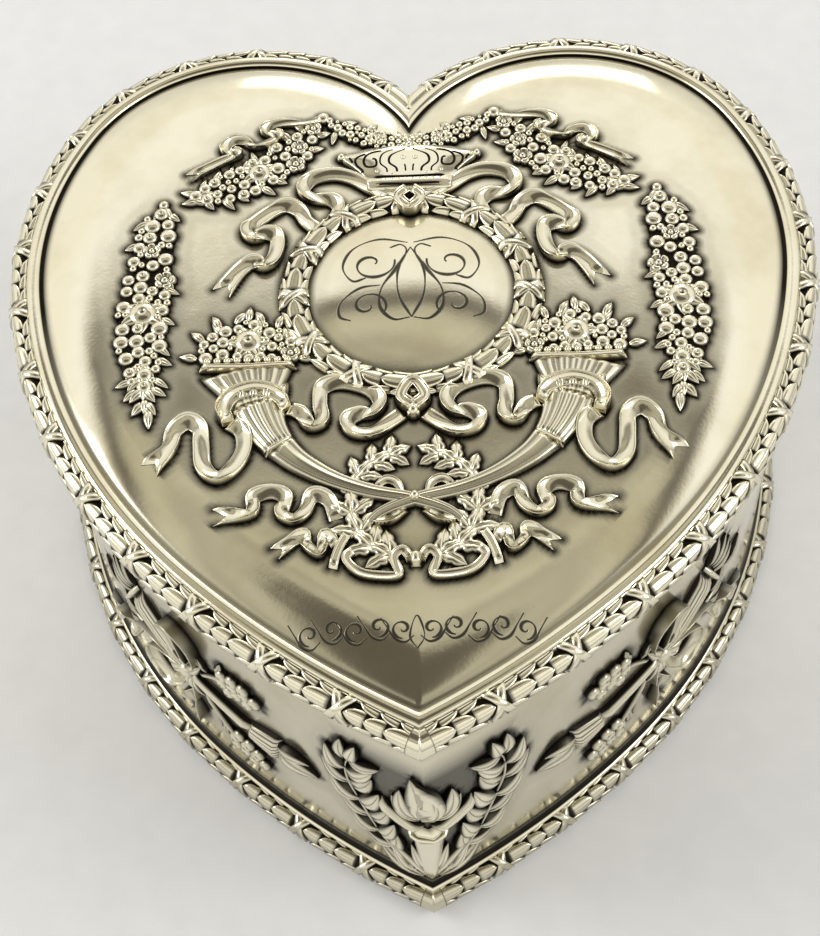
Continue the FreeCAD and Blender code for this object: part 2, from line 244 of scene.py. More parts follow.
def sterling(name, planish=0.05, polish=0.16, cloud=0.5):
    """Polished and oxidised sterling silver. planish is the depth of the hollows, in mm."""
    metal, tree = fresh(name)
    place = add(tree, "ShaderNodeTexCoord")
    recess = add(tree, "ShaderNodeAttribute", {"attribute_name": "oxide"})
    clouds = add(tree, "ShaderNodeTexNoise", {"Scale": 1 / (CLOUD_MM * MM), "Detail": 4.0, "Roughness": 0.6},
                 {"Vector": (place, "Object")})
    patches = add(tree, "ShaderNodeValToRGB", links={"Fac": (clouds, "Fac")})
    ramp(patches, [(0.42, (0, 0, 0, 1)), (0.72, (cloud, cloud, cloud, 1))])
    worn = add(tree, "ShaderNodeMix", {"data_type": "RGBA", 6: linear(SILVER_HEX), 7: linear(FILM_HEX)},
               {0: (patches, "Color")})
    grime = add(tree, "ShaderNodeMix", {"data_type": "RGBA", 7: linear(OXIDE_HEX)},
                {0: (recess, "Fac"), 6: (worn, 2)})
    dull = add(tree, "ShaderNodeMath", {"operation": "MULTIPLY_ADD", 1: OXIDE_ROUGH, 2: polish}, {0: (recess, "Fac")})
    hollows = add(tree, "ShaderNodeTexNoise", {"Scale": 1 / (PLANISH_MM * MM), "Detail": 1.5},
                  {"Vector": (place, "Object")})
    scratches = add(tree, "ShaderNodeTexNoise", {"Scale": 1 / (SCRATCH_MM * MM), "Detail": 3.0},
                    {"Vector": (place, "Object")})
    deep = add(tree, "ShaderNodeBump", {"Strength": 1.0, "Distance": planish * MM}, {"Height": (hollows, "Fac")})
    fine = add(tree, "ShaderNodeBump", {"Strength": 1.0, "Distance": SCRATCH_DEEP * MM},
               {"Height": (scratches, "Fac"), "Normal": (deep, "Normal")})
    face = add(tree, "ShaderNodeBsdfPrincipled", {"Metallic": 1.0},
               {"Base Color": (grime, 2), "Roughness": (dull, "Value"), "Normal": (fine, "Normal")})
    add(tree, "ShaderNodeOutputMaterial", links={"Surface": (face, "BSDF")})
    return metal


polished = sterling("polished_sterling", polish=0.11)
chased = sterling("chased_sterling", planish=0.02, polish=0.14, cloud=0.3)


# ------------------------------------------------------------
# The wall, the floor plate and the plain strips.
# Sheet bent round the heart line and soldered at the cleft, with a bead-and-hollow strip over the foot.
# The hollow can't be reached by the buff, so it stays almost black.

ARC_STEPS = (70, 60, 60, 110)
CLEFT_STEPS = 24


def heart_loop(offset, turn=None):
    """Places round the heart at an offset, from the point up the right half and down the left, in mm.

    Inside the offset `turn`, the loop swings round that line's corner at the cleft, as the rolled sheet does."""
    half = []
    for i, ((x, y, radius, first, last), steps) in enumerate(zip(ARCS, ARC_STEPS)):
        r = radius + offset
        if i == 0:
            first = -acos(-x / r)
        if i == len(ARCS) - 1:
            last = pi - acos(x / (radius + (offset if turn is None else turn)))
        for k in range(steps):
            a = first + (last - first) * k / steps
            half.append((x + r * cos(a), y + r * sin(a)))
    corner = (x + (radius + (turn or offset)) * cos(last), y + (radius + (turn or offset)) * sin(last))
    for k in range(CLEFT_STEPS + 1):
        a = last + pi + (1.5 * pi - last - pi) * k / CLEFT_STEPS
        reach = 0 if turn is None else turn - offset
        half.append((corner[0] + reach * cos(a), corner[1] + reach * sin(a)))
    half[0], half[-1] = (0.0, half[0][1]), (0.0, half[-1][1])
    return half + [(-px, py) for px, py in half[-2:0:-1]]


def cast(name, points, faces, dark, body, metal):
    """One finished piece, from points in mm, with how dark its oxide is at each, riding on the box or its lid."""
    mesh = bpy.data.meshes.new(name)
    mesh.from_pydata([(x * MM, y * MM, z * MM) for x, y, z in points], [], faces)
    layer = mesh.attributes.new("oxide", "FLOAT", "POINT")
    layer.data.foreach_set("value", np.asarray(dark, dtype=np.float32))
    mesh.shade_smooth()
    mesh.materials.append(metal)
    piece = bpy.data.objects.new(name, mesh)
    scene.collection.objects.link(piece)
    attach(piece, body)
    return piece


def net(rows, across, ring=False, loop=False):
    """Faces of a net of points, row by row. A ring's rows close, and a loop's last row meets its first."""
    return [(i * across + j, (i + 1) % rows * across + j,
             (i + 1) % rows * across + (j + 1) % across, i * across + (j + 1) % across)
            for i in range(rows if loop else rows - 1) for j in range(across if ring else across - 1)]


def strip_round(name, profile, body, metal):
    """A strip of one profile all round the heart. The profile's points are (offset, height, darkness)."""
    loops = [heart_loop(offset) for offset, _, _ in profile]
    around, across = len(loops[0]), len(profile)
    points = [(*loops[j][i], profile[j][1]) for i in range(around) for j in range(across)]
    dark = [profile[j][2] for _ in range(around) for j in range(across)]
    return cast(name, points, net(around, across, ring=True, loop=True), dark, body, metal)


def bow_of(start, end, bulge, steps=8):
    """Points of a curved profile from start to end, bulging to the left of the way by `bulge`."""
    (x0, z0), (x1, z1) = start, end
    length = hypot(x1 - x0, z1 - z0)
    nx, nz = -(z1 - z0) / length, (x1 - x0) / length
    ways = [(k / steps, bulge * 4 * (k / steps) * (1 - k / steps)) for k in range(steps + 1)]
    return [(x0 + (x1 - x0) * t + nx * push, z0 + (z1 - z0) * t + nz * push) for t, push in ways]


SEAM_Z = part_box("body_wall")[1][2] / MM
WALL_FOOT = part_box("body_wall")[0][2] / MM
STRIP_LOW, STRIP_HIGH = (c[2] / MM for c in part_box("base_strip"))
SHEET = 0.8             # thickness of the sheet
STRIP_BEAD = 1.0        # height of the strip's bead
STRIP_OUT = PANEL_BACK + 0.5

strip_bead = bow_of((STRIP_OUT, STRIP_LOW), (STRIP_OUT, STRIP_LOW + STRIP_BEAD), -0.5)
strip_hollow = bow_of((STRIP_OUT, STRIP_LOW + STRIP_BEAD), (PANEL_BACK, STRIP_HIGH), 0.2)
strip = strip_round("foot_bead_and_hollow",
                    [(PANEL_BACK, STRIP_LOW, 1.0)] + [(out, z, 0.0) for out, z in strip_bead[:-1]]
                    + [(out, z, 1.0 if k < 5 else 0.7) for k, (out, z) in enumerate(strip_hollow)], "base", polished)
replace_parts(strip, "base_strip")


def finish(node, material):
    """Gives a piece carried over from the design its material."""
    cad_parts[node].data.materials.clear()
    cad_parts[node].data.materials.append(material)


for node in ("base_plate", "body_bezel"):
    finish(node, polished)


# ------------------------------------------------------------
# The laurel mouldings of the foot and the lid.
# Cast half-round wire, chased as bound laurel: leaves in rows of five, three rows to a bundle, and a ribbon
# crossed over each bundle's end. Both lengths of a moulding run from the point and meet at the cleft.

MOULDING_R = 2.4                # over the leaves
CORE_R = 2.0                    # the wire under them
MOULDING_MIDDLE = 48.0          # where the middle leaf of a row faces, in degrees above level
LEAF_ROW = 3.3                  # from row to row
BUNDLE = 13.7                   # from ribbon to ribbon
BUNDLE_ROWS = 3
LEAF_FAN = ((0, 40.0), (-62, 31.0), (62, 31.0), (-112, 26.0), (112, 26.0))    # degrees off the middle, half width
LAUREL_REACH = 112.0            # how far round the wire the ribbon goes, in degrees each way
CUFF_REACH = 118.0
CUFF_FRONT, CUFF_BACK = 2.6, 3.0    # lengths of the cuffs at the point and the cleft
CUFF_PAST = 6.0                 # the back cuff runs on past the cleft, into its twin
CUFF_LAP = 2.0                  # and the last leaves run under it
FOOT_FILM = 0.28                # the foot is handled and rubbed less than the lid


def bound_leaf(start, long, middle, half, thick=0.5, tucked=0.44):
    """A laurel leaf lying on bound work, as points (along, round, height, darkness) and faces.

    Its stem end is tucked under the row behind, and its tip stands clear of the row in front."""
    across = (-1.0, -0.97, -0.6, -0.12, 0.0, 0.12, 0.6, 0.97, 1.0)
    steps = 14
    points = []
    for i in range(steps + 2):
        t = min(i, steps) / steps
        swell = (1 - t ** 4.5) ** 0.66 * (0.88 + 0.12 * sin(pi * t))
        for j, w in enumerate(across):
            lift = thick * (0.30 + 0.70 * t) * (1 - 0.40 * w * w) - 0.16 * thick * (w == 0)
            edge = j in (0, len(across) - 1) or i > steps
            shade = part((tucked - t) / 0.07)
            points.append((start + long * t, middle + w * half * swell, 0.0 if edge else lift,
                           1.0 if edge else max(shade, 0.2 * (w == 0))))
    return points, net(steps + 2, len(across))


def crossed_ribbon(start, long, reach, wide=1.55, thick=0.62):
    """Two flat bands crossed over the bound work, steep at its middle and running straight down its sides."""
    lumps = []
    across = (-1.0, -0.9, 0.0, 0.9, 1.0)
    steps = 24
    for hand in (-1, 1):
        points = []
        for i in range(steps + 1):
            t = i / steps
            lay = part(0.5 + (t - 0.5) * 1.9)
            for w in across:
                edge = abs(w) == 1.0
                points.append((start + wide / 2 + (long - wide) * lay + w * wide / 2, hand * reach * (2 * t - 1),
                               0.0 if edge else thick - 0.08 * (w == 0) - 0.05 * (hand > 0),
                               1.0 if edge else 0.0))
        lumps.append((points, net(steps + 1, len(across))))
    return lumps


def bound_laurel(length, fan, reach, row=LEAF_ROW, bundle=BUNDLE, rows=BUNDLE_ROWS, first=2.2, thick=0.5):
    """Bundles of laurel along a length, from a smooth cap at its start."""
    lumps = []
    whole = round((length - first) / bundle)
    row *= (length - first) / whole / bundle
    bundle = (length - first) / whole
    for k in range(whole):
        start = first + k * bundle
        for r in range(rows):
            for i, (off, half) in enumerate(fan):
                stagger = -0.5 * row if i in (1, 2) else 0.0
                lumps.append(bound_leaf(start + (r - 0.35) * row + stagger, row * 1.6, off, half, thick,
                                        0.44 if r else 0.26))
        lumps += crossed_ribbon(start + (rows - 0.05) * row, bundle - (rows - 0.1) * row, reach, thick=thick + 0.12)
    return lumps


def smooth_cap(start, end, dark_row, thick=0.45):
    """A plain polished cuff, where two lengths are mitred. One end row is dark, where leaves meet it."""
    rows, across = 11, 25
    points = [(start + (end - start) * i / (rows - 1), w * CUFF_REACH, 0.0 if abs(w) == 1.0 else thick,
               0.9 if i == dark_row % rows else 0.0) for i in range(rows) for w in np.linspace(-1, 1, across)]
    return points, net(rows, across)


def changed(lumps, rule):
    """Lumps with each of their points (along, across, height, darkness) put through a rule."""
    return [([rule(*point) for point in points], faces) for points, faces in lumps]


def lay_down(name, lumps, place, body):
    """Makes one chased piece of lumps, each in the flat, with `place` taking (along, across, height) to the box."""
    points, faces, dark = [], [], []
    for lump_points, lump_faces in lumps:
        base = len(points)
        for a, b, h, d in lump_points:
            points.append(place(a, b, h))
            dark.append(d)
        faces += [tuple(base + i for i in f) for f in lump_faces]
    return cast(name, points, faces, dark, body, chased)


def on_moulding(side, middle_z):
    """Takes a place on the bound laurel (along, degrees from its middle, height) to the box."""
    def place(along, off, height):
        turn = radians(MOULDING_MIDDLE + off)
        r = CORE_R + height
        x, y = on_line(along, -MOULDING_R + r * cos(turn))
        return side * max(x, 0.0), y, middle_z + r * sin(turn)
    return place


CORE_BACK = radians(109.0)     # the wire is cut flat behind, from this far round it each way

for half, film in (("base", FOOT_FILM), ("lid", 0.0)):
    low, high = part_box(half + "_moulding_right")
    middle_z = (low[2] + high[2]) / 2 / MM
    for hand, side in (("right", 1), ("left", -1)):
        cuffs = [smooth_cap(0.0, CUFF_FRONT, -1), smooth_cap(HALF_LINE - CUFF_BACK, HALF_LINE + CUFF_PAST, 0)]
        laurel = changed(bound_laurel(HALF_LINE - CUFF_LAP, LEAF_FAN, LAUREL_REACH) + cuffs,
                         lambda a, b, h, d: (a, b, h, min(1.0, d + film)))
        lay_down(f"{half}_laurel_{hand}", laurel, on_moulding(side, middle_z), half)
    ground = [(-MOULDING_R + CORE_R * cos(a), middle_z + CORE_R * sin(a), 1.0)
              for a in np.linspace(-CORE_BACK, CORE_BACK, 24)]
    core = strip_round(f"{half}_moulding_core", ground, half, chased)
    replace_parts(core, f"{half}_moulding_left", f"{half}_moulding_right")


# ------------------------------------------------------------
# The form of the lid's top sheet.
# One sheet raised from behind over pitch: a flat margin, a soft roll up to the field, and the dome of the
# medallion. It is drawn here and cast further on, since its oxide depends on the raised work upon it.

PANEL_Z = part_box("lid_bead_wire")[0][2] / MM
MARGIN_IN, ROLL_IN = -6.2, -16.2        # where the margin ends and the field begins
MARGIN_LOOPS, ROLL_LOOPS, FIELD_RINGS = 7, 24, 110
ROLL_RISE = 2.0
ROLL_FULLNESS = 0.85                    # under 1, the roll is steeper at its foot
MEDALLION = (0.0, 10.5)
MEDALLION_R = 17.3
MEDALLION_RISE = 1.4
FIELD_CENTRE = (0.0, 6.0)


def inset(x, y):
    """How far a place is inside the outer line, in mm, swinging round the margin's corner at the cleft."""
    x = abs(x)
    lobe_x, lobe_y, lobe_r, _, _ = ARCS[-1]
    margin_r = lobe_r + MARGIN_IN
    best = None
    for cx, cy, radius, first, last in ARCS:
        if cx == lobe_x:
            last = pi - acos(lobe_x / margin_r)
        if first <= atan2(y - cy, x - cx) <= last:
            depth = radius - hypot(x - cx, y - cy)
            best = depth if best is None else min(best, depth)
    if best is None:
        corner_y = lobe_y + sqrt(margin_r ** 2 - lobe_x ** 2)
        best = hypot(x, corner_y - y) - MARGIN_IN
    return best


def roll_height(inside):
    """How high the sheet stands at a distance inside the outer line, from the margin up its roll to the field."""
    t = part((inside + MARGIN_IN) / (MARGIN_IN - ROLL_IN))
    return PANEL_Z + ROLL_RISE * sin(pi / 2 * t) ** ROLL_FULLNESS


def field_height(x, y):
    """How high the raised sheet stands, on the roll, the field or the medallion."""
    sphere = (MEDALLION_R ** 2 + MEDALLION_RISE ** 2) / (2 * MEDALLION_RISE)
    reach = hypot(x - MEDALLION[0], y - MEDALLION[1])
    dome = sqrt(sphere ** 2 - reach ** 2) - (sphere - MEDALLION_RISE) if reach < MEDALLION_R else 0.0
    return roll_height(inset(x, y)) + dome


def on_field(x, y, height):
    """Takes a place on the lid (across, back, height over the sheet) to the box."""
    return x, y, field_height(x, y) + height


def top_sheet():
    """Loops of the lid's sheet from its edge to its middle."""
    loops = []
    for offset in np.linspace(PANEL_BACK, MARGIN_IN, MARGIN_LOOPS):
        loops.append([(x, y, PANEL_Z) for x, y in heart_loop(offset)])
    for t in np.linspace(0, 1, ROLL_LOOPS)[1:]:
        offset = MARGIN_IN + (ROLL_IN - MARGIN_IN) * t
        loops.append([(x, y, roll_height(-offset)) for x, y in heart_loop(offset, MARGIN_IN)])
    edge = loops[-1]
    for k in range(1, FIELD_RINGS):
        s = 1 - k / FIELD_RINGS
        ring = [(FIELD_CENTRE[0] + (x - FIELD_CENTRE[0]) * s, FIELD_CENTRE[1] + (y - FIELD_CENTRE[1]) * s)
                for x, y, _ in edge]
        loops.append([(x, y, field_height(x, y)) for x, y in ring])
    return loops


# ------------------------------------------------------------
# The silversmith's punches for raised work.
# Each flower, leaf, berry and ribbon is pushed up from behind and then chased from the front, so it has a
# steep dark edge where it leaves the sheet and a bright rubbed top. Shapes are in mm: across, up, height.

GROUND_MARKS = []       # where raised work meets the lid's sheet, so that the dip stays dark there
MARK_DARK, MARK_LOW = 0.7, 0.35         # a point is such a place if it is as dark and as low as this


def curve_through(knots, steps=7):
    """A smooth line through the knots. A knot can carry more numbers, which are smoothed with it."""
    knots = [np.array(k, dtype=float) for k in knots]
    ends = [2 * knots[0] - knots[1]] + knots + [2 * knots[-1] - knots[-2]]
    line = []
    for a, b, c, d in zip(ends, ends[1:], ends[2:], ends[3:]):
        for k in range(steps):
            t = k / steps
            line.append(0.5 * (2 * b + (c - a) * t + (2 * a - 5 * b + 4 * c - d) * t * t
                               + (3 * b - 3 * c + d - a) * t ** 3))
    return line + [knots[-1]]


def run_along(knots, section, steps=7, lean=0.0, tail=0.0):
    """A chased strip along a curve.

    Knots are (across, up, half width, height), and the section is (across -1 to 1, height 0 to 1, darkness).
    Lean lowers a ribbon's inner edge where it turns and paints that edge darker, as shade in the fold, and tail cuts
    its end to a swallowtail of that length."""
    line = curve_through(knots, steps)
    count = len(line)
    spots = np.array([p[:2] for p in line])
    way = np.gradient(spots, axis=0)
    way /= np.maximum(np.linalg.norm(way, axis=1, keepdims=True), 1e-9)
    turning = np.cross(way[:-1], way[1:])
    turning = np.convolve(np.concatenate([turning, turning[-1:]]), np.ones(7) / 7, mode="same") * 6
    points = []
    for i, (spot, (wx, wy), knot) in enumerate(zip(spots, way, line)):
        half, high = knot[2:]
        from_end = min(i, count - 1 - i)
        if from_end < 2:
            high *= (0.12, 0.75)[from_end]
        tilt = lean * max(-1.0, min(1.0, turning[i]))
        near_end = max(0.0, 1 - (count - 1 - i) / steps) if tail else 0.0
        for w, h, d in section:
            push = tail * near_end * (abs(w) - 0.25)
            spread = w * half * (1 + 0.35 * near_end)
            # Where the ribbon leans, its lowered edge is painted darker, as shade in the fold.
            points.append((spot[0] - wy * spread + wx * push, spot[1] + wx * spread + wy * push,
                           high * h * (1 - tilt * w), min(1.0, d + max(0.0, tilt * w) * 0.5 * (h > 0))))
    return points, net(count, len(section))


RIBBON = ((-1.0, 0.0, 1.0), (-0.985, 0.90, 0.3), (-0.95, 1.0, 0.0), (-0.86, 1.0, 0.0), (-0.78, 0.82, 0.22),
          (-0.70, 0.76, 0.1), (0.0, 0.72, 0.0), (0.70, 0.76, 0.1), (0.78, 0.82, 0.22), (0.86, 1.0, 0.0),
          (0.95, 1.0, 0.0), (0.985, 0.90, 0.3), (1.0, 0.0, 1.0))
ROUND = ((-1.0, 0.0, 1.0), (-0.92, 0.45, 0.6), (-0.7, 0.78, 0.1), (-0.35, 0.96, 0.0), (0.0, 1.0, 0.0),
         (0.35, 0.96, 0.0), (0.7, 0.78, 0.1), (0.92, 0.45, 0.6), (1.0, 0.0, 1.0))
GROUND = ((-1.0, 0.0, 1.0), (-0.8, 1.0, 1.0), (0.8, 1.0, 1.0), (1.0, 0.0, 1.0))
CUT = ((-1.0, 0.0, 0.75), (-0.3, 1.0, 0.95), (0.6, 1.0, 0.9), (1.0, 0.2, 0.25))


def heading(dx, dy):
    """Which way a step goes, in degrees from across."""
    return degrees(atan2(dy, dx))


def along_stem(knots, first, step):
    """Where leaves leave a stem, as (how far along, out of how much, x, y, the stem's heading there)."""
    stem = curve_through(knots, 10)
    for k in range(first, len(stem) - 1, step):
        (x, y), (nx, ny) = stem[k], stem[k + 1]
        yield k, len(stem), x, y, heading(nx - x, ny - y)


def ribbon(knots, half=1.25, high=0.8, lean=0.8, tail=0.0):
    """A flat ribbon laid in turns."""
    return run_along([(x, y, half, high) for x, y in knots], RIBBON, 7, lean, tail)


def berry(x, y, r, high=0.9, eye=0.0, foot=0.0):
    """A domed bead, sunk at its top where it has an eye."""
    rows = ((1.06, -0.05, 1.0), (1.0, 0.36, 0.8), (0.90, 0.66, 0.15), (0.66, 0.88, 0.0), (0.40, 0.97, 0.0),
            (0.17, 1.0, 0.2 * bool(eye)), (0.12, 1.0 - eye, 0.8 * bool(eye)), (0.0, 1.0 - eye, 1.0 * bool(eye)))
    around = 14
    points = [(x + r * reach * cos(2 * pi * k / around), y + r * reach * sin(2 * pi * k / around),
               foot + high * lift, d) for reach, lift, d in rows for k in range(around)]
    return points, net(len(rows), around, True)


def blossom(x, y, r, turn=0.0, petals=5, high=1.0, foot=0.0):
    """An open flower with a beaded middle."""
    rows = ((1.06, -0.05, 1.0), (1.0, 0.5, 0.5), (0.86, 0.95, 0.0), (0.62, 0.9, 0.0), (0.40, 0.55, 0.7),
            (0.34, 0.5, 1.0), (0.28, 0.85, 0.2), (0.14, 1.05, 0.0), (0.0, 1.1, 0.0))
    around = petals * 8
    points = []
    for reach, lift, d in rows:
        for k in range(around):
            a = 2 * pi * k / around
            petal = abs(cos(petals * a / 2))
            spread = r * reach * ((0.70 + 0.30 * petal ** 0.5) if reach > 0.5 else 1.0)
            gap = max(0.0, 1 - 3.5 * petal) if 0.3 < reach < 1.0 else 0.0
            points.append((x + spread * cos(a + turn), y + spread * sin(a + turn),
                           foot + high * lift * (1 - 0.55 * gap), max(d, gap)))
    return points, net(len(rows), around, True)


def leaf(x, y, turn, long, wide, high=0.8, curl=0.0, notches=0, foot=0.0):
    """A creased leaf, with scalloped edges where it has notches. Turn is its way in degrees, from across."""
    across = (-1.0, -0.9, -0.5, -0.07, 0.0, 0.07, 0.5, 0.9, 1.0)
    steps = 10 if not notches else notches * 6
    points = []
    for i in range(steps + 1):
        t = i / steps
        half = wide / 2 * sin(pi * min(1.0, t * 0.93 + 0.07) ** 0.85) ** 0.8
        if notches:
            half *= 0.72 + 0.38 * abs(sin(pi * notches * t))
        a = radians(turn + curl * (t - 0.3))
        for w in across:
            lift = high * (0.35 + 0.65 * sin(pi * t ** 0.8)) * (1 - 0.3 * w * w) * (0.72 if w == 0 else 1)
            s, c = w * half, long * t
            points.append((x + c * cos(a) - s * sin(a), y + c * sin(a) + s * cos(a),
                           foot + (0.0 if abs(w) == 1 else lift), {1.0: 1.0, 0.9: 0.5, 0.0: 0.7}.get(abs(w), 0.0)))
    return points, net(steps + 1, len(across))


GARLAND_TRIES, GARLAND_FILL = 4200, 2000        # after so many tries only the gaps are filled, with small berries
GARLAND_GAP = 0.88                              # how close two berries sit, of touching


def garland(knots, seed, big=0.5, sizes=(0.75, 1.25), leaves=1.0):
    """A rope of fruit and flowers.

    Knots are (across, up, half width). Big is how far along its large fruit lies, and 0 is for none."""
    luck = random.Random(seed)
    line = curve_through([(x, y, half, 0.35) for x, y, half in knots], 10)
    lumps = [run_along([(x, y, half * 0.85, 0.3) for x, y, half in knots], GROUND, 10)]
    spots = np.array([p[:2] for p in line])
    way = np.gradient(spots, axis=0)
    way /= np.linalg.norm(way, axis=1, keepdims=True)
    placed = []
    middle = int(big * (len(line) - 1))
    fruit_r = line[middle][2] * 0.50
    if big > 0:
        fx, fy = spots[middle]
        placed.append((fx, fy, fruit_r))
        for off in (60, 120, 240, 300, 180, 0):         # a whorl of leaves round the large fruit
            lumps.append(leaf(fx, fy, heading(*way[middle]) + off, fruit_r * 1.75, fruit_r * 1.1, 0.8, foot=0.2))
        lumps.append(berry(fx, fy, fruit_r * 1.05, 1.5, eye=0.35))
    for attempt in range(GARLAND_TRIES):
        i = luck.randrange(len(line))
        half = line[i][2]
        r = luck.uniform(*sizes) * (1.4 if luck.random() < 0.20 else 1.0)
        if attempt > GARLAND_FILL:
            r = sizes[0] * luck.uniform(0.55, 0.85)
        w = luck.uniform(-1, 1) * (half - r * 0.75)
        x, y = spots[i][0] - way[i][1] * w, spots[i][1] + way[i][0] * w
        if half < r * 0.9 or any(hypot(x - px, y - py) < (r + pr) * GARLAND_GAP for px, py, pr in placed):
            continue
        placed.append((x, y, r))
        crown = 0.85 - 0.35 * (w / max(half, 0.1)) ** 2
        if r > sizes[1]:
            lumps.append(blossom(x, y, r * 1.05, luck.uniform(0, 6), 5, crown + 0.15, 0.15))
        elif luck.random() < 0.18:
            lumps.append(berry(x, y, r * 0.95, crown + 0.1, eye=0.3, foot=0.15))
        else:
            lumps.append(berry(x, y, r, crown + 0.15, foot=0.1))
    for k in range(int(leaves * len(line) / 7)):
        i = min(len(line) - 1, int((k + luck.uniform(0.2, 0.8)) * 7 / leaves))
        for side in (-1, 1):
            if luck.random() < 0.25:
                continue
            half = line[i][2]
            turn = heading(*way[i]) + side * luck.uniform(35, 75)
            x, y = spots[i][0] - way[i][1] * side * half * 0.6, spots[i][1] + way[i][0] * side * half * 0.6
            lumps.append(leaf(x, y, turn, luck.uniform(2.6, 3.6), luck.uniform(1.2, 1.7), 0.65))
    return lumps


def turned_over(lumps):
    """The same lumps for the left half."""
    return [(points, [face[::-1] for face in faces])
            for points, faces in changed(lumps, lambda x, y, h, d: (-x, y, h, d))]


def both(lumps):
    """The lumps of the right half with those of the left."""
    return lumps + turned_over(lumps)


def lay_on_lid(name, lumps, marked=True):
    """Raised work on the lid, and its mark for the dip to stay dark round it."""
    if marked:
        GROUND_MARKS.extend((x, y) for points, _ in lumps for x, y, h, d in points if d > MARK_DARK and h < MARK_LOW)
    return lay_down(name, lumps, on_field, "lid")


# ------------------------------------------------------------
# The wreath round the medallion, and its crown.
# Bound laurel in a ring, leaves climbing both sides from a knot at the foot to one at the head, and a small
# coronet standing on it. The medallion inside is left plain for engraving.

WREATH_R = 19.8
WREATH_HALF = 2.5
WREATH_HIGH = 1.6
WREATH_LEAF = 0.4           # how far the leaves stand off the wreath's core
WREATH_FAN = ((0, 42.0), (-64, 33.0), (64, 33.0))
WREATH_REACH = 84.0
WREATH_ROW = 3.4
WREATH_BUNDLE = 10.3
WREATH_ROWS = 2


def on_wreath(side, along, off, height):
    """Takes a place on the wreath (along from its foot, degrees round it, height) to the lid's flat."""
    a = -pi / 2 + along / WREATH_R
    turn = radians(off)
    r = WREATH_R + (WREATH_HALF - WREATH_LEAF + height) * sin(turn)
    return side * r * cos(a), MEDALLION[1] + r * sin(a), (WREATH_HIGH - WREATH_LEAF + height) * cos(turn)


climbing = bound_laurel(pi * WREATH_R, WREATH_FAN, WREATH_REACH, WREATH_ROW, WREATH_BUNDLE, WREATH_ROWS,
                        1.0, 0.45)
wreath = [lump for side in (1, -1) for lump in changed(climbing, lambda a, b, h, d: (*on_wreath(side, a, b, h), d))]
ring = [(MEDALLION[0] + WREATH_R * sin(a), MEDALLION[1] - WREATH_R * cos(a), WREATH_HALF - 0.25,
         WREATH_HIGH - 0.45) for a in np.linspace(0, 2 * pi, 49)]
under_wreath = run_along(ring, tuple((w, h, 1.0) for w, h, d in ROUND), 4)
lay_on_lid("wreath_core", [under_wreath])
lay_on_lid("wreath", wreath, marked=False)

foot_knot = [(0.2, -14.8), (-1.9, -12.6), (0.0, -9.6), (1.9, -12.6), (-0.2, -14.8)]
head_knot = [(0.2, 32.4), (-1.9, 30.2), (0.0, 27.9), (1.9, 30.2), (-0.2, 32.4)]
lay_on_lid("wreath_knots", [run_along([(x, y, 0.95, 2.4) for x, y in knot], RIBBON, 8)
                            for knot in (foot_knot, head_knot)] + [berry(0, -15.2, 1.1, 2.2)])

PLATE_TOP = ((-1.0, 0.0, 1.0), (-0.985, 0.85, 0.4), (-0.955, 1.0, 0.0), (-0.5, 1.02, 0.0), (0.0, 1.03, 0.0),
             (0.5, 1.02, 0.0), (0.955, 1.0, 0.0), (0.985, 0.85, 0.4), (1.0, 0.0, 1.0))
crown = [run_along([(0, 32.7, 7.3, 1.1), (0, 34.4, 7.5, 1.1), (0, 36.4, 8.4, 1.1), (0, 38.6, 10.2, 1.1),
                    (0, 40.6, 12.0, 1.1), (0, 41.9, 9.6, 1.1), (0, 43.2, 4.0, 1.0), (0, 43.7, 1.5, 0.9)], PLATE_TOP, 5),
         run_along([(0, 32.9, 7.2, 1.35), (0, 36.0, 8.0, 1.35)], PLATE_TOP, 6)]
crown += [berry(x, 34.8, 0.42, 1.5) for x in np.linspace(-6.6, 6.6, 12)]


def chased_line(knots, half=0.28, high=1.2):
    """A dark chased line on top of raised work."""
    section = ((-1.0, 0.88, 1.0), (0.0, 1.0, 1.0), (1.0, 0.88, 1.0))
    return run_along([(x, y, half, high) for x, y in knots], section, 6)


lines = [chased_line([(0.3, 42.6), (1.4, 41.9), (3.2, 40.7), (3.5, 39.0), (2.3, 37.7), (2.1, 36.3)], 0.42),
         chased_line([(1.9, 42.6), (4.6, 41.2), (5.1, 39.0), (4.0, 37.6), (3.9, 36.3)], 0.30),
         chased_line([(3.8, 42.1), (7.0, 41.3), (8.0, 39.7), (7.5, 38.2), (5.9, 38.3), (5.9, 39.8), (6.8, 40.1)], 0.40),
         chased_line([(6.9, 41.6), (9.3, 40.3), (9.3, 38.7), (8.3, 37.4), (8.1, 36.5)], 0.36),
         chased_line([(0.6, 36.3), (0.7, 38.0), (0.9, 38.6)], 0.32),
         chased_line([(10.8, 40.7), (10.2, 39.8), (9.9, 39.0)], 0.34),
         berry(1.05, 40.2, 0.6, 1.5, eye=0.3), berry(5.7, 37.0, 0.5, 1.35, eye=0.3), berry(4.9, 36.4, 0.35, 1.3),
         berry(10.9, 40.6, 0.5, 1.4, eye=0.3), berry(12.0, 41.0, 0.75, 1.3), berry(3.0, 36.5, 0.4, 1.35)]
crown += both(lines)
crown += [chased_line([(-wide, low), (0, low - 0.2), (wide, low)], 0.26, 1.45)
          for low, wide in ((33.9, 7.1), (35.7, 7.7))]
crown += [berry(0, 43.9, 0.8, 1.5), berry(-1.3, 43.5, 0.5, 1.2), berry(1.3, 43.5, 0.5, 1.2)]
lay_on_lid("crown", crown)


# ------------------------------------------------------------
# The ribbons of the lid.
# Long streamers from the head of the wreath, a bow from its foot that runs on to each horn, and short
# swallowtailed ends below. Each is a flat band that rises at its folds.

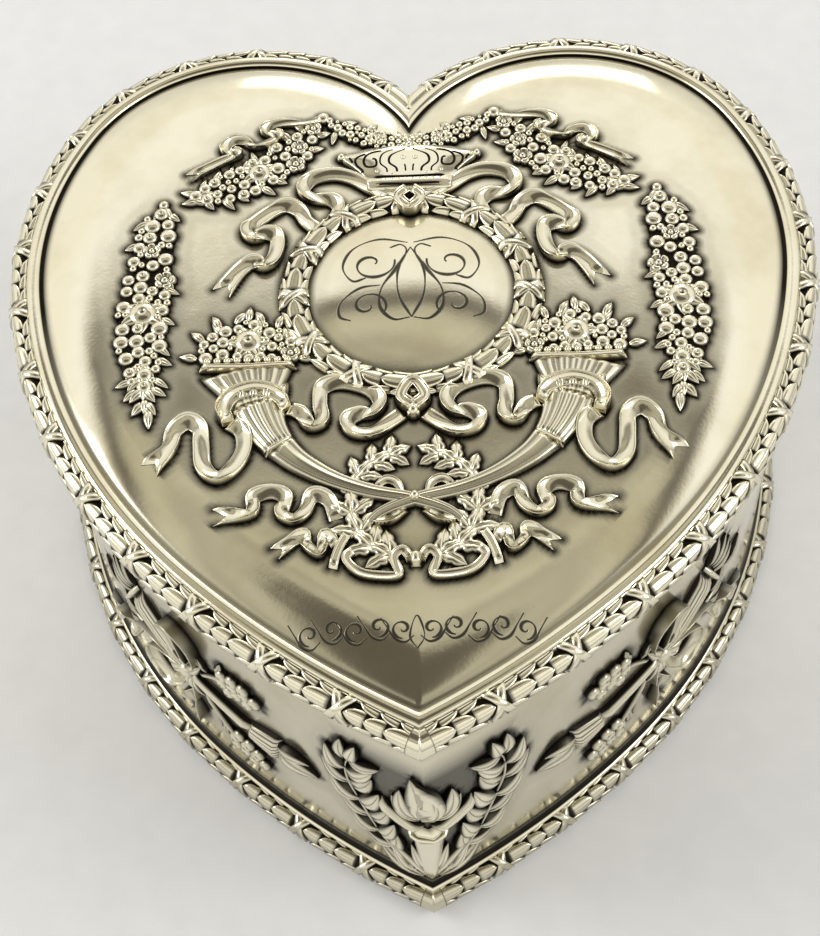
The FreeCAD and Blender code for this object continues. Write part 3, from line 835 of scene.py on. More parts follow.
head_streamer = [(15.8, 24.2), (17.9, 26.4), (19.3, 28.9), (21.6, 30.2), (24.2, 28.8), (26.8, 26.4), (28.0, 24.6),
                 (26.9, 23.2), (24.9, 23.9), (23.2, 23.4), (22.8, 21.3), (23.5, 18.2), (25.0, 16.8), (26.8, 17.6),
                 (28.8, 16.2), (31.2, 12.6)]
bow_loop = [(2.0, 30.8), (4.4, 31.9), (6.8, 33.5), (9.9, 35.9), (13.3, 37.0), (17.0, 36.2), (18.6, 33.8), (16.9, 31.8),
            (13.9, 31.1), (12.4, 29.4), (13.2, 26.6), (15.6, 23.6)]
foot_bow = [(1.6, -15.0), (3.6, -16.6), (6.4, -18.6), (9.4, -18.4), (10.6, -16.4), (8.6, -15.0), (6.4, -14.6),
            (5.4, -12.4), (7.4, -10.0), (11.6, -8.6), (14.6, -9.6), (15.0, -12.8), (14.6, -16.0), (16.4, -16.9),
            (18.0, -14.6), (20.2, -13.4)]
horn_tie = [(20.4, -13.6), (22.4, -11.3), (25.6, -10.4), (28.8, -11.6), (30.4, -14.2), (29.6, -16.0)]
horn_streamer = [(29.6, -15.8), (27.4, -17.6), (27.0, -21.3), (28.6, -24.6), (31.0, -26.2), (33.2, -24.2),
                 (33.8, -19.8), (34.2, -16.8), (36.2, -15.4), (38.2, -17.2), (38.9, -20.4), (41.2, -23.2)]
side_streamer = [(12.2, -34.6), (13.4, -31.2), (15.8, -30.2), (17.0, -33.0), (18.8, -34.4), (20.6, -33.2),
                 (20.0, -30.6), (22.2, -29.4), (25.0, -30.2), (25.4, -33.0), (29.8, -33.4)]
low_streamer = [(12.2, -39.2), (13.8, -37.8), (14.6, -40.8), (16.6, -39.2), (17.2, -37.6), (20.6, -39.8)]
high_streamer = [(15.6, 50.8), (18.6, 49.9), (21.6, 50.2), (24.2, 49.9), (26.0, 48.4), (24.6, 47.5), (23.0, 46.9),
                 (24.8, 45.6), (27.6, 44.8), (29.4, 46.0), (31.4, 46.2), (33.0, 44.2), (31.8, 43.4), (30.4, 42.8),
                 (33.4, 41.3), (37.8, 38.6)]
lay_on_lid("ribbon_streamers", both([
    ribbon(head_streamer, 1.3, 0.95, tail=2.2), ribbon(bow_loop, 1.2, 1.0),
    ribbon(horn_streamer, 1.35, 0.95, tail=1.6), ribbon(foot_bow, 1.2, 0.95),
    ribbon(side_streamer, 1.15, 0.8, tail=2.2), ribbon(low_streamer, 0.9, 0.9, tail=1.6),
    ribbon(high_streamer, 0.8, 0.9, tail=2.0), berry(15.4, 51.0, 1.2, 1.2)]))


# ------------------------------------------------------------
# The garlands of the lid.
# Ropes of fruit, flowers and leaves: three swags over the crown, and a long drop down each side.

swag = garland([(37.4, 33.0, 1.6), (33.6, 34.4, 3.2), (29.4, 36.2, 3.9), (25.2, 39.0, 4.1), (21.2, 42.6, 3.9),
                (18.2, 46.4, 2.6), (16.4, 49.6, 1.0)], 11, big=0.45, sizes=(1.0, 1.4))
swag += [leaf(37.6, 33.0, 165, 4.2, 1.6), leaf(38.4, 32.6, 200, 3.6, 1.5), leaf(36.6, 33.4, 15, 3.8, 1.7),
         leaf(36.8, 32.2, -10, 3.2, 1.5)]
centre_swag = garland([(14.4, 50.0, 0.9), (10.6, 47.4, 2.0), (6.0, 45.6, 2.4), (0.0, 45.2, 2.2)], 23, big=0,
                      sizes=(0.65, 0.95), leaves=0.6)
centre_swag += [blossom(5.6, 45.7, 1.7, 0.4, 5, 1.2), leaf(0.4, 45.6, 35, 3.6, 1.2), leaf(0.6, 46.0, 60, 3.0, 1.1)]
drop = garland([(43.0, 30.4, 1.0), (43.6, 27.0, 3.1), (44.4, 20.0, 4.0), (44.9, 12.0, 4.6), (45.0, 4.0, 4.7),
                (44.8, -2.0, 4.0), (44.2, -6.4, 2.6), (43.8, -9.0, 1.2)], 37, big=0.52, sizes=(1.1, 1.55))
for t in (0.0, 0.22, 0.45, 0.7):
    y = -3.4 - 11.0 * t
    x = 44.6 - 1.6 * t
    drop += [leaf(x, y, -128, 3.9 - t, 1.8, 0.8), leaf(x, y, -52, 3.9 - t, 1.8, 0.8),
             leaf(x, y + 0.6, -92, 3.0, 1.5, 0.9)]
drop += [leaf(42.8, -12.6, -95, 3.8, 1.7), leaf(43.0, 31.0, -120, 3.6, 1.5), leaf(43.0, 31.0, -60, 3.4, 1.4),
         berry(43.0, 31.4, 0.9, 1.0)]
lay_on_lid("garland_swags", both(swag))
lay_on_lid("garland_centre", both(centre_swag))
lay_on_lid("garland_drops", both(drop))


# ------------------------------------------------------------
# The horns of plenty.
# Two fluted horns crossed under the wreath, each with a flared bell full of fruit, and a band at its neck.

FLUTED = tuple((w, sqrt(max(0.0, 1 - w * w)) * (0.93 + 0.07 * cos(7 * pi * w)) if abs(w) < 1 else 0.0,
                1.0 if abs(w) == 1 else 0.55 * max(0.0, -cos(7 * pi * w)) ** 2 + 0.4 * (abs(w) > 0.9))
               for w in np.linspace(-1, 1, 29))
RIDGED = ((-1.0, 0.0, 1.0), (-0.93, 0.55, 0.5), (-0.7, 0.8, 0.0), (-0.5, 0.72, 0.45), (-0.42, 0.74, 0.5),
          (-0.1, 1.0, 0.0), (0.1, 1.0, 0.0), (0.42, 0.74, 0.5), (0.5, 0.72, 0.45), (0.7, 0.8, 0.0),
          (0.93, 0.55, 0.5), (1.0, 0.0, 1.0))
horn = [
    run_along([(26.9, -5.2, 7.9, 1.9), (26.4, -7.6, 6.6, 1.9), (25.9, -10.0, 5.2, 1.9), (25.3, -12.6, 4.5, 1.8)],
              FLUTED, 6),
    run_along([(25.4, -12.0, 4.5, 2.0), (24.4, -15.0, 4.0, 1.9), (22.9, -18.2, 3.3, 1.8), (21.0, -21.2, 2.7, 1.7)],
              FLUTED, 6),
    run_along([(21.4, -20.6, 2.7, 1.9), (18.0, -24.0, 2.1, 1.7), (13.0, -27.3, 1.6, 1.5), (7.0, -29.8, 1.3, 1.4),
               (0.0, -31.6, 1.1, 1.5), (-5.0, -33.6, 0.9, 1.2), (-7.6, -35.8, 0.7, 0.8)], RIDGED, 9),
    run_along([(23.6, -22.4, 0.45, 1.9), (21.2, -21.0, 0.45, 2.2), (18.9, -19.4, 0.45, 1.9)], ROUND, 6),
    run_along([(19.0, -5.0, 0.5, 1.9), (22.9, -5.3, 0.55, 2.2), (27.0, -5.5, 0.55, 2.3), (31.0, -5.3, 0.55, 2.2),
               (34.9, -5.0, 0.5, 1.9)], ROUND, 7),
    ribbon(horn_tie, 1.1, 2.5, 0.5)]
horn += [leaf(x, -4.6, 90, 1.9, 1.5, 1.6) for x in np.linspace(20.4, 33.6, 9)]
horn += [leaf(x, -12.4, turn, 4.4, 1.9, 2.1)
         for x, turn in ((21.9, 112), (23.8, 100), (25.7, 90), (27.6, 80), (29.4, 68))]
heap = garland([(19.8, -1.9, 2.2), (22.6, -0.6, 3.6), (27.0, 0.4, 4.6), (31.4, -0.4, 3.6), (34.4, -1.8, 2.2)], 51,
               big=0.5, sizes=(0.9, 1.25), leaves=0.6)
heap += [leaf(x, y, turn, 3.0, 1.5, 0.8) for x, y, turn in
         ((22.4, 3.4, 110), (24.6, 4.4, 60), (27.2, 5.0, 95), (29.4, 4.6, 130), (31.8, 3.6, 60), (34.4, 1.0, 40),
          (19.6, 0.6, 140), (35.4, -2.6, 10), (18.8, -3.0, 190))]
lay_on_lid("horns_of_plenty", both(horn))
lay_on_lid("horn_fruit", both(heap))


# ------------------------------------------------------------
# The small oak wreath under the horns.
# Two sprays of scalloped leaves, open at the top, with their stems tied in a bow.

spray_line = [(3.2, -41.6), (6.6, -39.8), (9.0, -36.4), (9.9, -31.6), (9.2, -27.4), (6.6, -24.4), (3.4, -22.6)]
spray = [run_along([(x, y, 0.4, 0.8) for x, y in spray_line], ROUND, 6)]
for k, _, x, y, turn in along_stem(spray_line, 2, 8):
    size = 1.0 if k < 34 else 0.85
    for off, high in ((58, 0.7), (-54, 0.85), (4, 1.05)):
        spray.append(leaf(x, y, turn + off, 4.5 * size, 2.7 * size, high, notches=2))
lay_on_lid("oak_wreath", both(spray))
low_bow = [(0.8, -42.4), (2.0, -40.8), (3.4, -42.2), (2.6, -45.0), (5.4, -45.2), (8.6, -44.4), (10.6, -42.0),
           (9.2, -40.4)]
crossed_stem = [(10.0, -37.0), (11.6, -40.0), (12.6, -43.4)]
lay_on_lid("oak_wreath_bow", both([ribbon(low_bow, 0.7, 1.0, 0.15), ribbon(crossed_stem, 0.7, 1.0, 0.2)])
           + [run_along([(0, -41.2, 0.9, 1.5), (0, -42.2, 1.0, 1.7), (0, -43.6, 0.9, 1.5)], ROUND, 5)])
hook = [(2.0, -31.4), (2.6, -28.9), (4.4, -28.0), (6.0, -29.4)]
low_leaf = [(1.6, -33.0), (4.0, -35.2), (6.8, -34.6)]
lay_on_lid("horn_tie_ribbon", both([ribbon(hook, 0.6, 1.0, 0.4), ribbon(low_leaf, 0.9, 1.0, 0.7)])
           + [berry(0, -31.4, 0.9, 2.1)])


# ------------------------------------------------------------
# The engraving.
# Cut with a graver after the chasing: a knot of scrolls on the medallion and a line of them near the point.
# A cut is thick where the graver leans over and thin where it lifts.


def graved(knots, thin=0.12, thick=0.5, repeat=5.0):
    """A cut line that swells and thins along its length."""
    line = curve_through(knots, 10)
    lengths = np.concatenate([[0], np.cumsum(np.hypot(*np.diff(np.array([p[:2] for p in line]), axis=0).T))])
    total = lengths[-1]
    swelled = [(p[0], p[1], thin + (thick - thin) * (0.5 - 0.5 * cos(2 * pi * s / repeat))
                * min(1.0, s, total - s) / 2 + 0.02, 0.03) for p, s in zip(line, lengths)]
    return run_along(swelled, CUT, 1)


def scroll(x, y, r, start, turns, hand=1):
    """A cut spiral from its middle outwards."""
    return [(x + r * t ** 0.8 * cos(start + hand * turns * 2 * pi * t),
             y + r * t ** 0.8 * sin(start + hand * turns * 2 * pi * t)) for t in np.linspace(0.08, 1, 22)]


knot_of_scrolls = both([
    graved(scroll(5.6, 15.4, 3.4, -2.4, 1.15, -1), 0.12, 0.55, 6.0),
    graved(scroll(6.2, 7.2, 2.8, 2.6, 1.2), 0.12, 0.5, 6.0),
    graved([(0.3, 4.6), (2.6, 4.4), (4.4, 6.8), (4.2, 10.4), (2.2, 14.0), (0.6, 17.6), (1.4, 19.2), (3.0, 18.6)],
           0.12, 0.55, 9.0),
    graved([(0.0, 18.6), (1.6, 15.0), (2.0, 11.6), (1.6, 8.2), (0.0, 4.6)], 0.10, 0.42, 8.0),
    graved([(0.4, 19.6), (4.6, 20.6), (8.4, 18.8), (9.8, 15.2), (8.4, 12.2), (6.4, 12.6)], 0.10, 0.4, 7.0),
    graved([(4.4, 11.0), (7.4, 10.6), (10.0, 8.2), (10.2, 5.6), (8.6, 4.6)], 0.10, 0.4, 6.0)])
CUT_MIDDLE, CUT_WIDER, CUT_TALLER = 11.5, 1.18, 1.1        # the knot is drawn small and spread to fill the medallion
lay_on_lid("engraved_scrolls_medallion", changed(knot_of_scrolls, lambda x, y, h, d: (
    x * CUT_WIDER, CUT_MIDDLE + (y - CUT_MIDDLE) * CUT_TALLER, h, d)), marked=False)
line_of_scrolls = []
for k in range(5):
    x = 2.2 + 3.5 * k
    y = -54.0 + 0.5 * (k % 2)
    line_of_scrolls += [graved(scroll(x, y, 1.65, pi * (k % 2), 1.25, 1 if k % 2 else -1), 0.12, 0.46, 4.0),
                        graved([(x - 1.7, y - 1.2), (x - 0.4, y - 2.2), (x + 1.1, y - 1.6), (x + 2.2, y + 0.2),
                                (x + 3.2, y + 1.9)], 0.10, 0.42, 6.0)]
lay_on_lid("engraved_scrolls_point", both(line_of_scrolls)
           + [graved([(0, -57.4), (-1.1, -55.2), (0, -51.8), (1.1, -55.2), (0, -57.4)], 0.08, 0.3, 5.0)], marked=False)


# ------------------------------------------------------------
# The lid's top sheet itself, cast now that the places of the raised work are known.
# Sterling sheet, soldered to the skirt. It keeps its dark dip against every raised edge, and in the channel at
# the foot of the roll.

DIP_NEAR, DIP_FAR = 0.3, 1.7            # the dip stays solid as far as this from raised work, and is gone by there
CROWD_REACH, CROWD_FULL = 3.6, 560      # the dip stays wherever so many marks stand within so far
CHANNEL_DARK = (0.0, 0.0, 0.0, 0.0, 0.3, 1.0, 1.0, 0.55, 0.15)      # loop by loop from the sheet's edge
FIELD_LOOP = 21                         # the raised work starts inside this loop
UNDER_DARK = 0.2


def marked_places(places):
    """A tree of places, for finding the ones near another."""
    tree = KDTree(len(places))
    for i, (a, b) in enumerate(places):
        tree.insert((a, b, 0), i)
    tree.balance()
    return tree


lid_marks = marked_places(GROUND_MARKS)


def dip_near(x, y):
    """How dark the dip stays at a place on the lid, from the raised work near it."""
    away = lid_marks.find((x, y, 0))[2]
    edge = part((DIP_FAR - away) / (DIP_FAR - DIP_NEAR))
    near = len(lid_marks.find_range((x, y, 0), CROWD_REACH)) if away < CROWD_REACH else 0
    most = 0.10 + 0.58 * part((14.0 - y) / 24.0)     # the crowded dark may go deeper in the low half, toward the point
    return max(edge ** 1.3, min(most, (near / CROWD_FULL) ** 0.7))


loops = top_sheet()
around = len(loops[0])
points = [place for loop in loops for place in loop]
dark = []
for j, loop in enumerate(loops):
    for x, y, _ in loop:
        deep = CHANNEL_DARK[j] if j < len(CHANNEL_DARK) else 0.0
        rubbed = max(0.0, min(0.6, (10.0 - y) / 60.0))      # the channel's dark is made lighter toward the point
        dark.append(max(deep * (1 - rubbed), dip_near(x, y) if j >= FIELD_LOOP else 0.0))
faces = [(a, d, c, b) for a, b, c, d in net(len(loops), around, ring=True)]
points.append((*FIELD_CENTRE, field_height(*FIELD_CENTRE)))
dark.append(0.0)
last_loop = (len(loops) - 1) * around
faces += [(last_loop + i, last_loop + (i + 1) % around, len(points) - 1) for i in range(around)]
panel_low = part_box("lid_panel")[0][2] / MM
count = len(points)
points += [(x, y, max(panel_low, z - SHEET)) for x, y, z in points]
dark += [UNDER_DARK] * count
faces += [tuple(count + i for i in face[::-1]) for face in faces]
faces += [(i, count + i, count + (i + 1) % around, (i + 1) % around) for i in range(around)]
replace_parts(cast("lid_sheet", points, faces, dark, "lid", polished), "lid_panel")


# ------------------------------------------------------------
# The raised work of the wall, and the wall itself.
# A torch with laurel sprays wraps the point of the heart. Each side has a trophy: a torch crossed with a
# quiver, poppy heads and a tied bow. The lobes behind repeat it. The wall keeps its dip round all of them.

TROPHY_PITCH = 100.0        # along the wall from a side trophy to the one on the lobe
WALL_MARKS = []             # where raised work meets the wall
WALL_RUBBED = 1.3           # only work as high as this over the wall is rubbed bright


def corner_lost(offset):
    """How far along the outer line an inset line's own corner lies, at the point."""
    x, _, radius, first, _ = ARCS[0]
    return radius * (-acos(-x / (radius + offset)) - first)


WALL_CORNER = corner_lost(PANEL_BACK)


def on_wall(along, up, height):
    """Takes a place on the wall (along from the point, up from the table, height over the sheet) to the box."""
    return *on_line(copysign(abs(along) + WALL_CORNER, along), PANEL_BACK + height), up


def lay_on_wall(name, lumps):
    """Raised work on the wall, and its mark for the dip. It is rubbed less than the lid's, and only on its tops."""
    WALL_MARKS.extend((a, up) for points, _ in lumps for a, up, h, d in points if d > MARK_DARK and h < MARK_LOW)
    dulled = changed(lumps, lambda a, up, h, d: (a, up, h, min(1.0, 1.8 * d + max(0.0, 0.5 * (WALL_RUBBED - h)))))
    return lay_down(name, dulled, on_wall, "base")


front = [run_along([(0, 30.6, 3.2, 1.9), (0, 27.0, 2.8, 1.9), (0, 21.0, 2.2, 1.7), (0, 15.0, 1.5, 1.5),
                    (0, 12.0, 0.9, 1.2)], ROUND, 6),
         run_along([(-3.6, 29.6, 0.5, 2.1), (0, 29.2, 0.5, 2.4), (3.6, 29.6, 0.5, 2.1)], ROUND, 5),
         leaf(0, 35.0, 90, 13.5, 6.0, 1.9, 14), leaf(0.4, 36.0, 108, 9.0, 4.0, 2.2, -24),
         leaf(0.0, 34.5, 70, 10.0, 4.0, 2.1, 30)]
front_right = [run_along([(0.8, 30.6, 1.0, 1.9), (4.6, 31.8, 1.25, 1.8), (8.8, 34.6, 1.2, 1.6)], ROUND, 6),
               leaf(1.6, 34.0, 52, 8.6, 4.2, 1.7, 26), leaf(1.2, 33.6, 24, 7.0, 3.4, 1.5, 30),
               leaf(0.8, 10.6, 60, 11.5, 5.0, 1.5, -18), leaf(1.4, 9.6, 30, 11.0, 5.2, 1.3, 14),
               leaf(2.4, 11.4, 50, 8.0, 2.8, 1.9, 6), leaf(0.6, 14.0, 76, 8.0, 2.8, 1.6, -8)]
spray_up = [(4.0, 15.0), (8.4, 19.0), (10.6, 24.0), (12.6, 30.0), (14.4, 36.0), (14.4, 42.0), (12.6, 46.6)]
front_right.append(run_along([(x, y, 0.35, 0.8) for x, y in spray_up], ROUND, 6))
front_right.insert(0, run_along([(x, y, 4.2 - 0.1 * abs(y - 30), 0.3) for x, y in spray_up], GROUND, 6))
for k, count, x, y, turn in along_stem(spray_up, 6, 8):
    size = 0.85 + 0.3 * sin(pi * k / count)
    for off in (72, -50):
        front_right.append(leaf(x, y, turn + off, 6.2 * size, 3.6 * size, 1.3 + 0.4 * (k % 16 > 7), -0.4 * off))
front_right.append(leaf(13.4, 45.0, 104, 5.0, 2.8, 1.7))
lay_on_wall("front_torch", front + both(front_right))

POPPY = ((0, 0), (1.5, 0.4), (-1.4, 0.5), (0.4, 1.7), (-0.9, 1.9), (1.6, 2.0), (0.1, 3.3), (-1.5, 3.3), (1.2, 3.5),
         (-0.3, 4.7))


def poppy_heads(x, y, turn, size=1.0):
    """A cluster of seed heads on a stalk."""
    c, s = cos(radians(turn - 90)), sin(radians(turn - 90))
    under = run_along([(x, y, 2.5 * size, 0.3), (x - s * 5 * size, y + c * 5 * size, 2.0 * size, 0.3)], GROUND, 4)
    return [under] + [berry(x + (px * c - py * s) * size, y + (px * s + py * c) * size, 0.86 * size, 1.4, eye=0.2)
                      for px, py in POPPY]


trophy = [run_along([(50.0, 33.6, 0.8, 1.4), (42.0, 31.8, 1.1, 1.5), (35.0, 30.2, 1.4, 1.6)], ROUND, 7),
          run_along([(35.6, 30.4, 1.9, 1.8), (33.0, 30.0, 3.2, 1.9), (29.0, 29.4, 4.8, 1.8)], FLUTED, 7),
          leaf(29.6, 29.4, 182, 8.6, 6.0, 1.6, 10), leaf(29.4, 30.6, 162, 6.6, 3.2, 1.7, 20),
          leaf(29.4, 28.4, 204, 6.0, 3.0, 1.7, -18),
          run_along([(47.0, 36.0, 0.5, 1.0), (42.0, 40.6, 0.5, 1.0), (39.0, 41.2, 0.6, 1.0)], ROUND, 6),
          run_along([(47.0, 30.0, 0.5, 1.0), (43.0, 24.0, 0.5, 1.0), (39.6, 20.0, 0.6, 1.0)], ROUND, 6),
          run_along([(50.0, 33.6, 2.0, 1.5), (56.0, 37.8, 3.8, 1.7), (63.0, 42.6, 4.8, 1.7)], FLUTED, 8),
          run_along([(61.6, 46.4, 0.6, 1.9), (63.4, 42.8, 0.6, 2.1), (65.4, 39.4, 0.6, 1.9)], ROUND, 5)]
trophy += [leaf(x, y, turn, 6.4, 2.4, 1.2)
           for x, y, turn in ((62.6, 46.0, 66), (63.8, 44.2, 44), (64.8, 42.4, 28), (65.6, 40.4, 8))]
trophy += poppy_heads(40.0, 41.6, 168, 1.55) + poppy_heads(40.6, 20.4, 196, 1.5)
trophy += [leaf(41.0, 42.0, 100, 5.0, 2.2, 0.9, notches=3), leaf(42.6, 22.6, 280, 5.0, 2.2, 0.9, notches=3),
           leaf(44.6, 38.6, 60, 5.6, 2.4, 0.9, notches=3)]
trophy += [ribbon([(50.0, 34.4), (47.4, 39.4), (47.0, 44.4), (50.2, 47.6), (53.4, 46.0), (52.6, 41.0), (50.4, 35.0)],
                  0.8, 1.4),
           ribbon([(50.4, 34.0), (54.6, 33.4), (59.4, 30.2), (60.0, 26.0), (56.4, 24.2), (53.0, 27.4), (50.6, 33.0)],
                  1.1, 1.5),
           ribbon([(50.0, 33.0), (48.4, 28.0), (51.4, 24.0), (49.4, 19.6), (51.6, 15.6)], 1.0, 1.3, tail=1.8),
           ribbon([(51.0, 33.4), (58.0, 34.6), (64.0, 31.0), (67.4, 25.6), (72.0, 25.4), (74.6, 20.6), (80.6, 16.6)],
                  1.0, 1.3, tail=2.0),
           berry(50.2, 33.8, 1.7, 2.0)]
trophy += [leaf(50.2 + 1.4 * cos(radians(turn)), 33.8 + 1.4 * sin(radians(turn)), turn, long, 2.6, 1.7)
           for turn, long in ((20, 6.0), (52, 6.6), (128, 5.6), (236, 5.4), (262, 5.0), (318, 6.2), (342, 5.4))]
trophy += [leaf(66.0, y, turn, 5.2, 2.2, 0.9, notches=3) for y, turn in ((33.0, 40), (31.0, 8), (29.0, -24))]
trophy += [run_along([(60.0, 33.0, 0.4, 0.8), (66.0, 32.0, 0.4, 0.8), (71.0, 35.0, 0.4, 0.8)], ROUND, 5),
           leaf(71.0, 35.0, 30, 6.0, 2.4, 1.0, notches=3)]
side_trophies = trophy + changed(trophy, lambda a, up, h, d: (a + TROPHY_PITCH, up, h, d))
lay_on_wall("trophies_right", side_trophies)
lay_on_wall("trophies_left", turned_over(side_trophies))

wall_marks = marked_places(WALL_MARKS)
WALL_ROWS = 64
WALL_STEP = 0.6                                 # between the wall's places, along it
WALL_DIP_NEAR, WALL_DIP_FAR = 0.5, 2.1          # as on the lid, but wider, since the cloth hardly gets in
WALL_CROWD_REACH, WALL_CROWD_FULL = 5.0, 420
WALL_TARNISH_AND_SHADE, WALL_MOST = 0.10, 0.66               # the darkening over the open wall, partly a tarnish film and partly painted shade for the darker things it reflects, and the most in a crowded place
FRONT_HALF, SHADE_UNDER_LID_FRONT, SHADE_UNDER_LID = 30.0, 5.0, 2.5     # a band of painted shade under the lid's overhang, deeper round the point


def dip_on_wall(a, up):
    """How dark a place on the wall is: the dip round raised work, and the darkening below, some of it painted shade."""
    away = wall_marks.find((a, up, 0))[2]
    edge = part((WALL_DIP_FAR - away) / (WALL_DIP_FAR - WALL_DIP_NEAR))
    near = len(wall_marks.find_range((a, up, 0), WALL_CROWD_REACH)) if away < WALL_CROWD_REACH else 0
    foot = 0.4 * part(1 - (up - STRIP_HIGH) / 3.0)
    # Painted shade: a dark band on the wall under the overhang of the lid.
    shade_under_lid = 0.8 * part(1 - (SEAM_Z - up) / (SHADE_UNDER_LID_FRONT if abs(a) < FRONT_HALF else SHADE_UNDER_LID))
    # The ground inside the front sprays, which lean out as they rise, is made almost black.
    inside = 0.86 * part(min((4.5 + 0.33 * (up - 12) - abs(a)) / 2.5, (up - 9) / 3, (55 - up) / 8))
    return max(edge ** 1.2, min(WALL_MOST, WALL_TARNISH_AND_SHADE + (near / WALL_CROWD_FULL) ** 0.8), inside, foot, shade_under_lid)


half_wall = HALF_LINE - WALL_CORNER
spaces = round(half_wall / WALL_STEP)
alongs = [half_wall * k / spaces for k in range(spaces + 1)]
alongs += [-a for a in alongs[-2:0:-1]]
heights = [WALL_FOOT] + list(np.linspace(STRIP_HIGH - 0.4, SEAM_Z, WALL_ROWS))
points, dark = [], []
for a in alongs:
    for up in heights:
        x, y, z = on_wall(a, up, 0.0)
        points.append((0.0 if a in (0.0, half_wall) else x, y, z))
        dark.append(1.0 if up < STRIP_HIGH else dip_on_wall(a, up))
wall_skin = cast("wall", points, net(len(alongs), len(heights), loop=True), dark, "base", polished)
solid = wall_skin.modifiers.new("sheet", "SOLIDIFY")
solid.thickness, solid.offset = SHEET * MM, -1.0
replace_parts(wall_skin, "body_wall")


# ------------------------------------------------------------
# The lid's wires and skirt, and the hinges.
# Drawn silver wire and tube, soldered on and polished. The pins are drawn steel, peened over at both ends, and
# grey beside the silver.

BEAD_OUT, BEAD_WIDE, BEAD_HIGH = PANEL_BACK - 0.15, 2.3, 0.7
bead_half = BEAD_WIDE / 2
bead = strip_round("lid_bead", [(BEAD_OUT, PANEL_Z, 0.9)]
                   + [(BEAD_OUT - bead_half + bead_half * cos(a), PANEL_Z + BEAD_HIGH * sin(a) ** 0.8,
                       0.9 if abs(a - pi / 2) > 1.3 else 0.0) for a in np.linspace(0.12, pi - 0.12, 15)]
                   + [(BEAD_OUT - BEAD_WIDE, PANEL_Z, 1.0)], "lid", polished)
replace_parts(bead, "lid_bead_wire")


def grained(name, tones, stops, patch, grain, deep, surface):
    """A material of two tones in patches, with a fine relief. Patch and grain are (size in mm, detail)."""
    made, tree = fresh(name)
    place = add(tree, "ShaderNodeTexCoord")
    patches, relief = (add(tree, "ShaderNodeTexNoise", {"Scale": 1 / (size * MM), "Detail": detail},
                           {"Vector": (place, "Object")}) for size, detail in (patch, grain))
    tone = add(tree, "ShaderNodeValToRGB", links={"Fac": (patches, "Fac")})
    ramp(tone, [(stop, linear(colour)) for stop, colour in zip(stops, tones)])
    bump = add(tree, "ShaderNodeBump", {"Distance": deep * MM}, {"Height": (relief, "Fac")})
    face = add(tree, "ShaderNodeBsdfPrincipled", surface, {"Base Color": (tone, "Color"), "Normal": (bump, "Normal")})
    add(tree, "ShaderNodeOutputMaterial", links={"Surface": (face, "BSDF")})
    return made


DRAWN_MM = 1 / 2.6      # between the fine marks of the draw plate
steel = grained("drawn_steel", ("#8E8D8B", "#B2B1AE"), (0.3, 0.7), (DRAWN_MM, 2.0), (DRAWN_MM, 2.0), 0.004,
                {"Metallic": 1.0, "Roughness": 0.28})

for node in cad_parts:
    if node in ("lid_skirt", "lid_edge_wire") or node.startswith("hinge_"):
        finish(node, steel if node.endswith("_pin") else polished)


# ------------------------------------------------------------
# The lining.
# Silk velvet glued over card: a band round the wall, and a padded cushion in the floor and in the lid. The
# cushions are wadding under velvet drawn round the card, so they are crowned and fall away at their edge.

PILE_MM = 0.35          # drawn coarser than real pile
STROKED_MM = 14.0       # patches where the pile lies another way
FIBRE_MM = 0.8
velvet = grained("silk_velvet", ("#551A25", "#66242F"), (0.35, 0.65), (STROKED_MM, 1.0), (PILE_MM, 2.0), 0.12,
                 {"Roughness": 0.95, "Specular IOR Level": 0.1, "Sheen Weight": 0.9, "Sheen Roughness": 0.35})
card = grained("pasteboard", ("#A3957A", "#B7A98C"), (0.3, 0.7), (FIBRE_MM, 5.0), (FIBRE_MM, 5.0), 0.05,
               {"Roughness": 0.85})
for node in ("lining_floor_board", "lid_lining_board"):
    finish(node, card)

CUSHION_EDGE = ((1.6, 0.0), (0.5, 0.0), (0.1, 0.12), (0.0, 0.32), (0.15, 0.55), (0.6, 0.76), (1.4, 0.90),
                (2.6, 0.97))            # (in from the edge, part of the edge's height)
CUSHION_RINGS = 26
CUSHION_SWELL = 2.4                     # over 2, the crown is flat in its middle


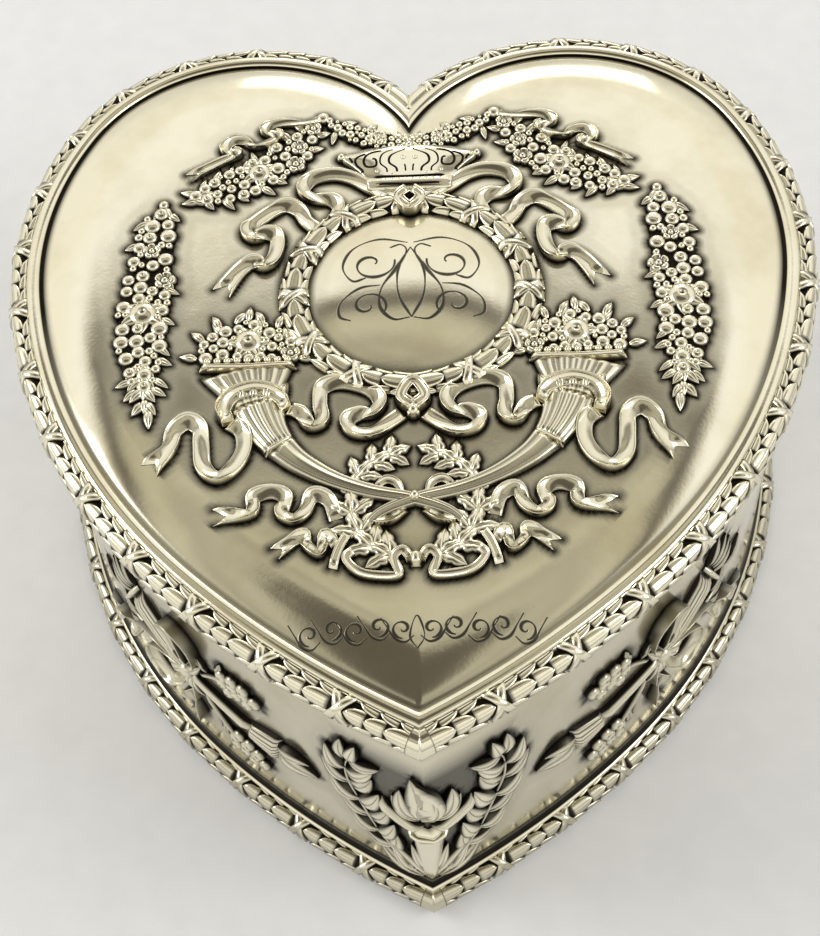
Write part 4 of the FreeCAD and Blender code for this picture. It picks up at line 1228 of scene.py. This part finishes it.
def cushion(name, edge, back_z, face_z, crown, body):
    """A heart-shaped cushion: flat behind where it meets the card, rounded at its edge and crowned in front."""
    side = (abs(face_z - back_z) - crown) * (1 if face_z > back_z else -1)
    crown = copysign(crown, side)
    loops = [[(x, y, back_z + level * side) for x, y in heart_loop(edge - within)] for within, level in CUSHION_EDGE]
    within, level = CUSHION_EDGE[-1]
    rim = heart_loop(edge - within)
    for k in range(1, CUSHION_RINGS + 1):
        s = 1 - k / CUSHION_RINGS
        swell = 1 - s ** CUSHION_SWELL
        z = back_z + side * (level + (1 - level) * swell) + crown * swell
        loops.append([(x * s, FIELD_CENTRE[1] + (y - FIELD_CENTRE[1]) * s, z) for x, y in rim])
    points = [place for loop in loops for place in loop]
    faces = net(len(loops), len(rim), ring=True) + [tuple(range(len(rim)))]
    made = cast(name, points, faces, [0.0] * len(points), body, velvet)
    return made


floor_low, floor_high = (c[2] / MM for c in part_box("lining_floor_pad"))
lid_low, lid_high = (c[2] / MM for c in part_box("lid_lining_pad"))
PAD_IN, LID_PAD_IN = -5.9, -6.6
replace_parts(cushion("floor_cushion", PAD_IN, floor_low, floor_high, 1.4, "base"), "lining_floor_pad")
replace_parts(cushion("lid_cushion", LID_PAD_IN, lid_high, lid_low, 1.0, "lid"), "lid_lining_pad")

LINING_IN, LINING_THICK = -4.3, 1.2
LINING_ROLL = 0.6           # the velvet is turned over the card's top edge in a roll as high as this
LINING_ROWS = 14
lining_low, lining_high = (c[2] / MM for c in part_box("lining_wall"))
rolled = [(LINING_IN - LINING_THICK * (0.5 - 0.5 * cos(a)), lining_high + LINING_ROLL * (sin(a) - 1), 0.0)
          for a in np.linspace(0, pi, 9)]
rippled = [(LINING_IN - LINING_THICK * (0.92 + 0.08 * cos(k)), z, 0.0)
           for k, z in enumerate(np.linspace(lining_high - 4, lining_low, LINING_ROWS))]
band = strip_round("wall_lining", [(LINING_IN, lining_low, 0.0)] + rolled + rippled, "base", velvet)
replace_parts(band, "lining_wall")
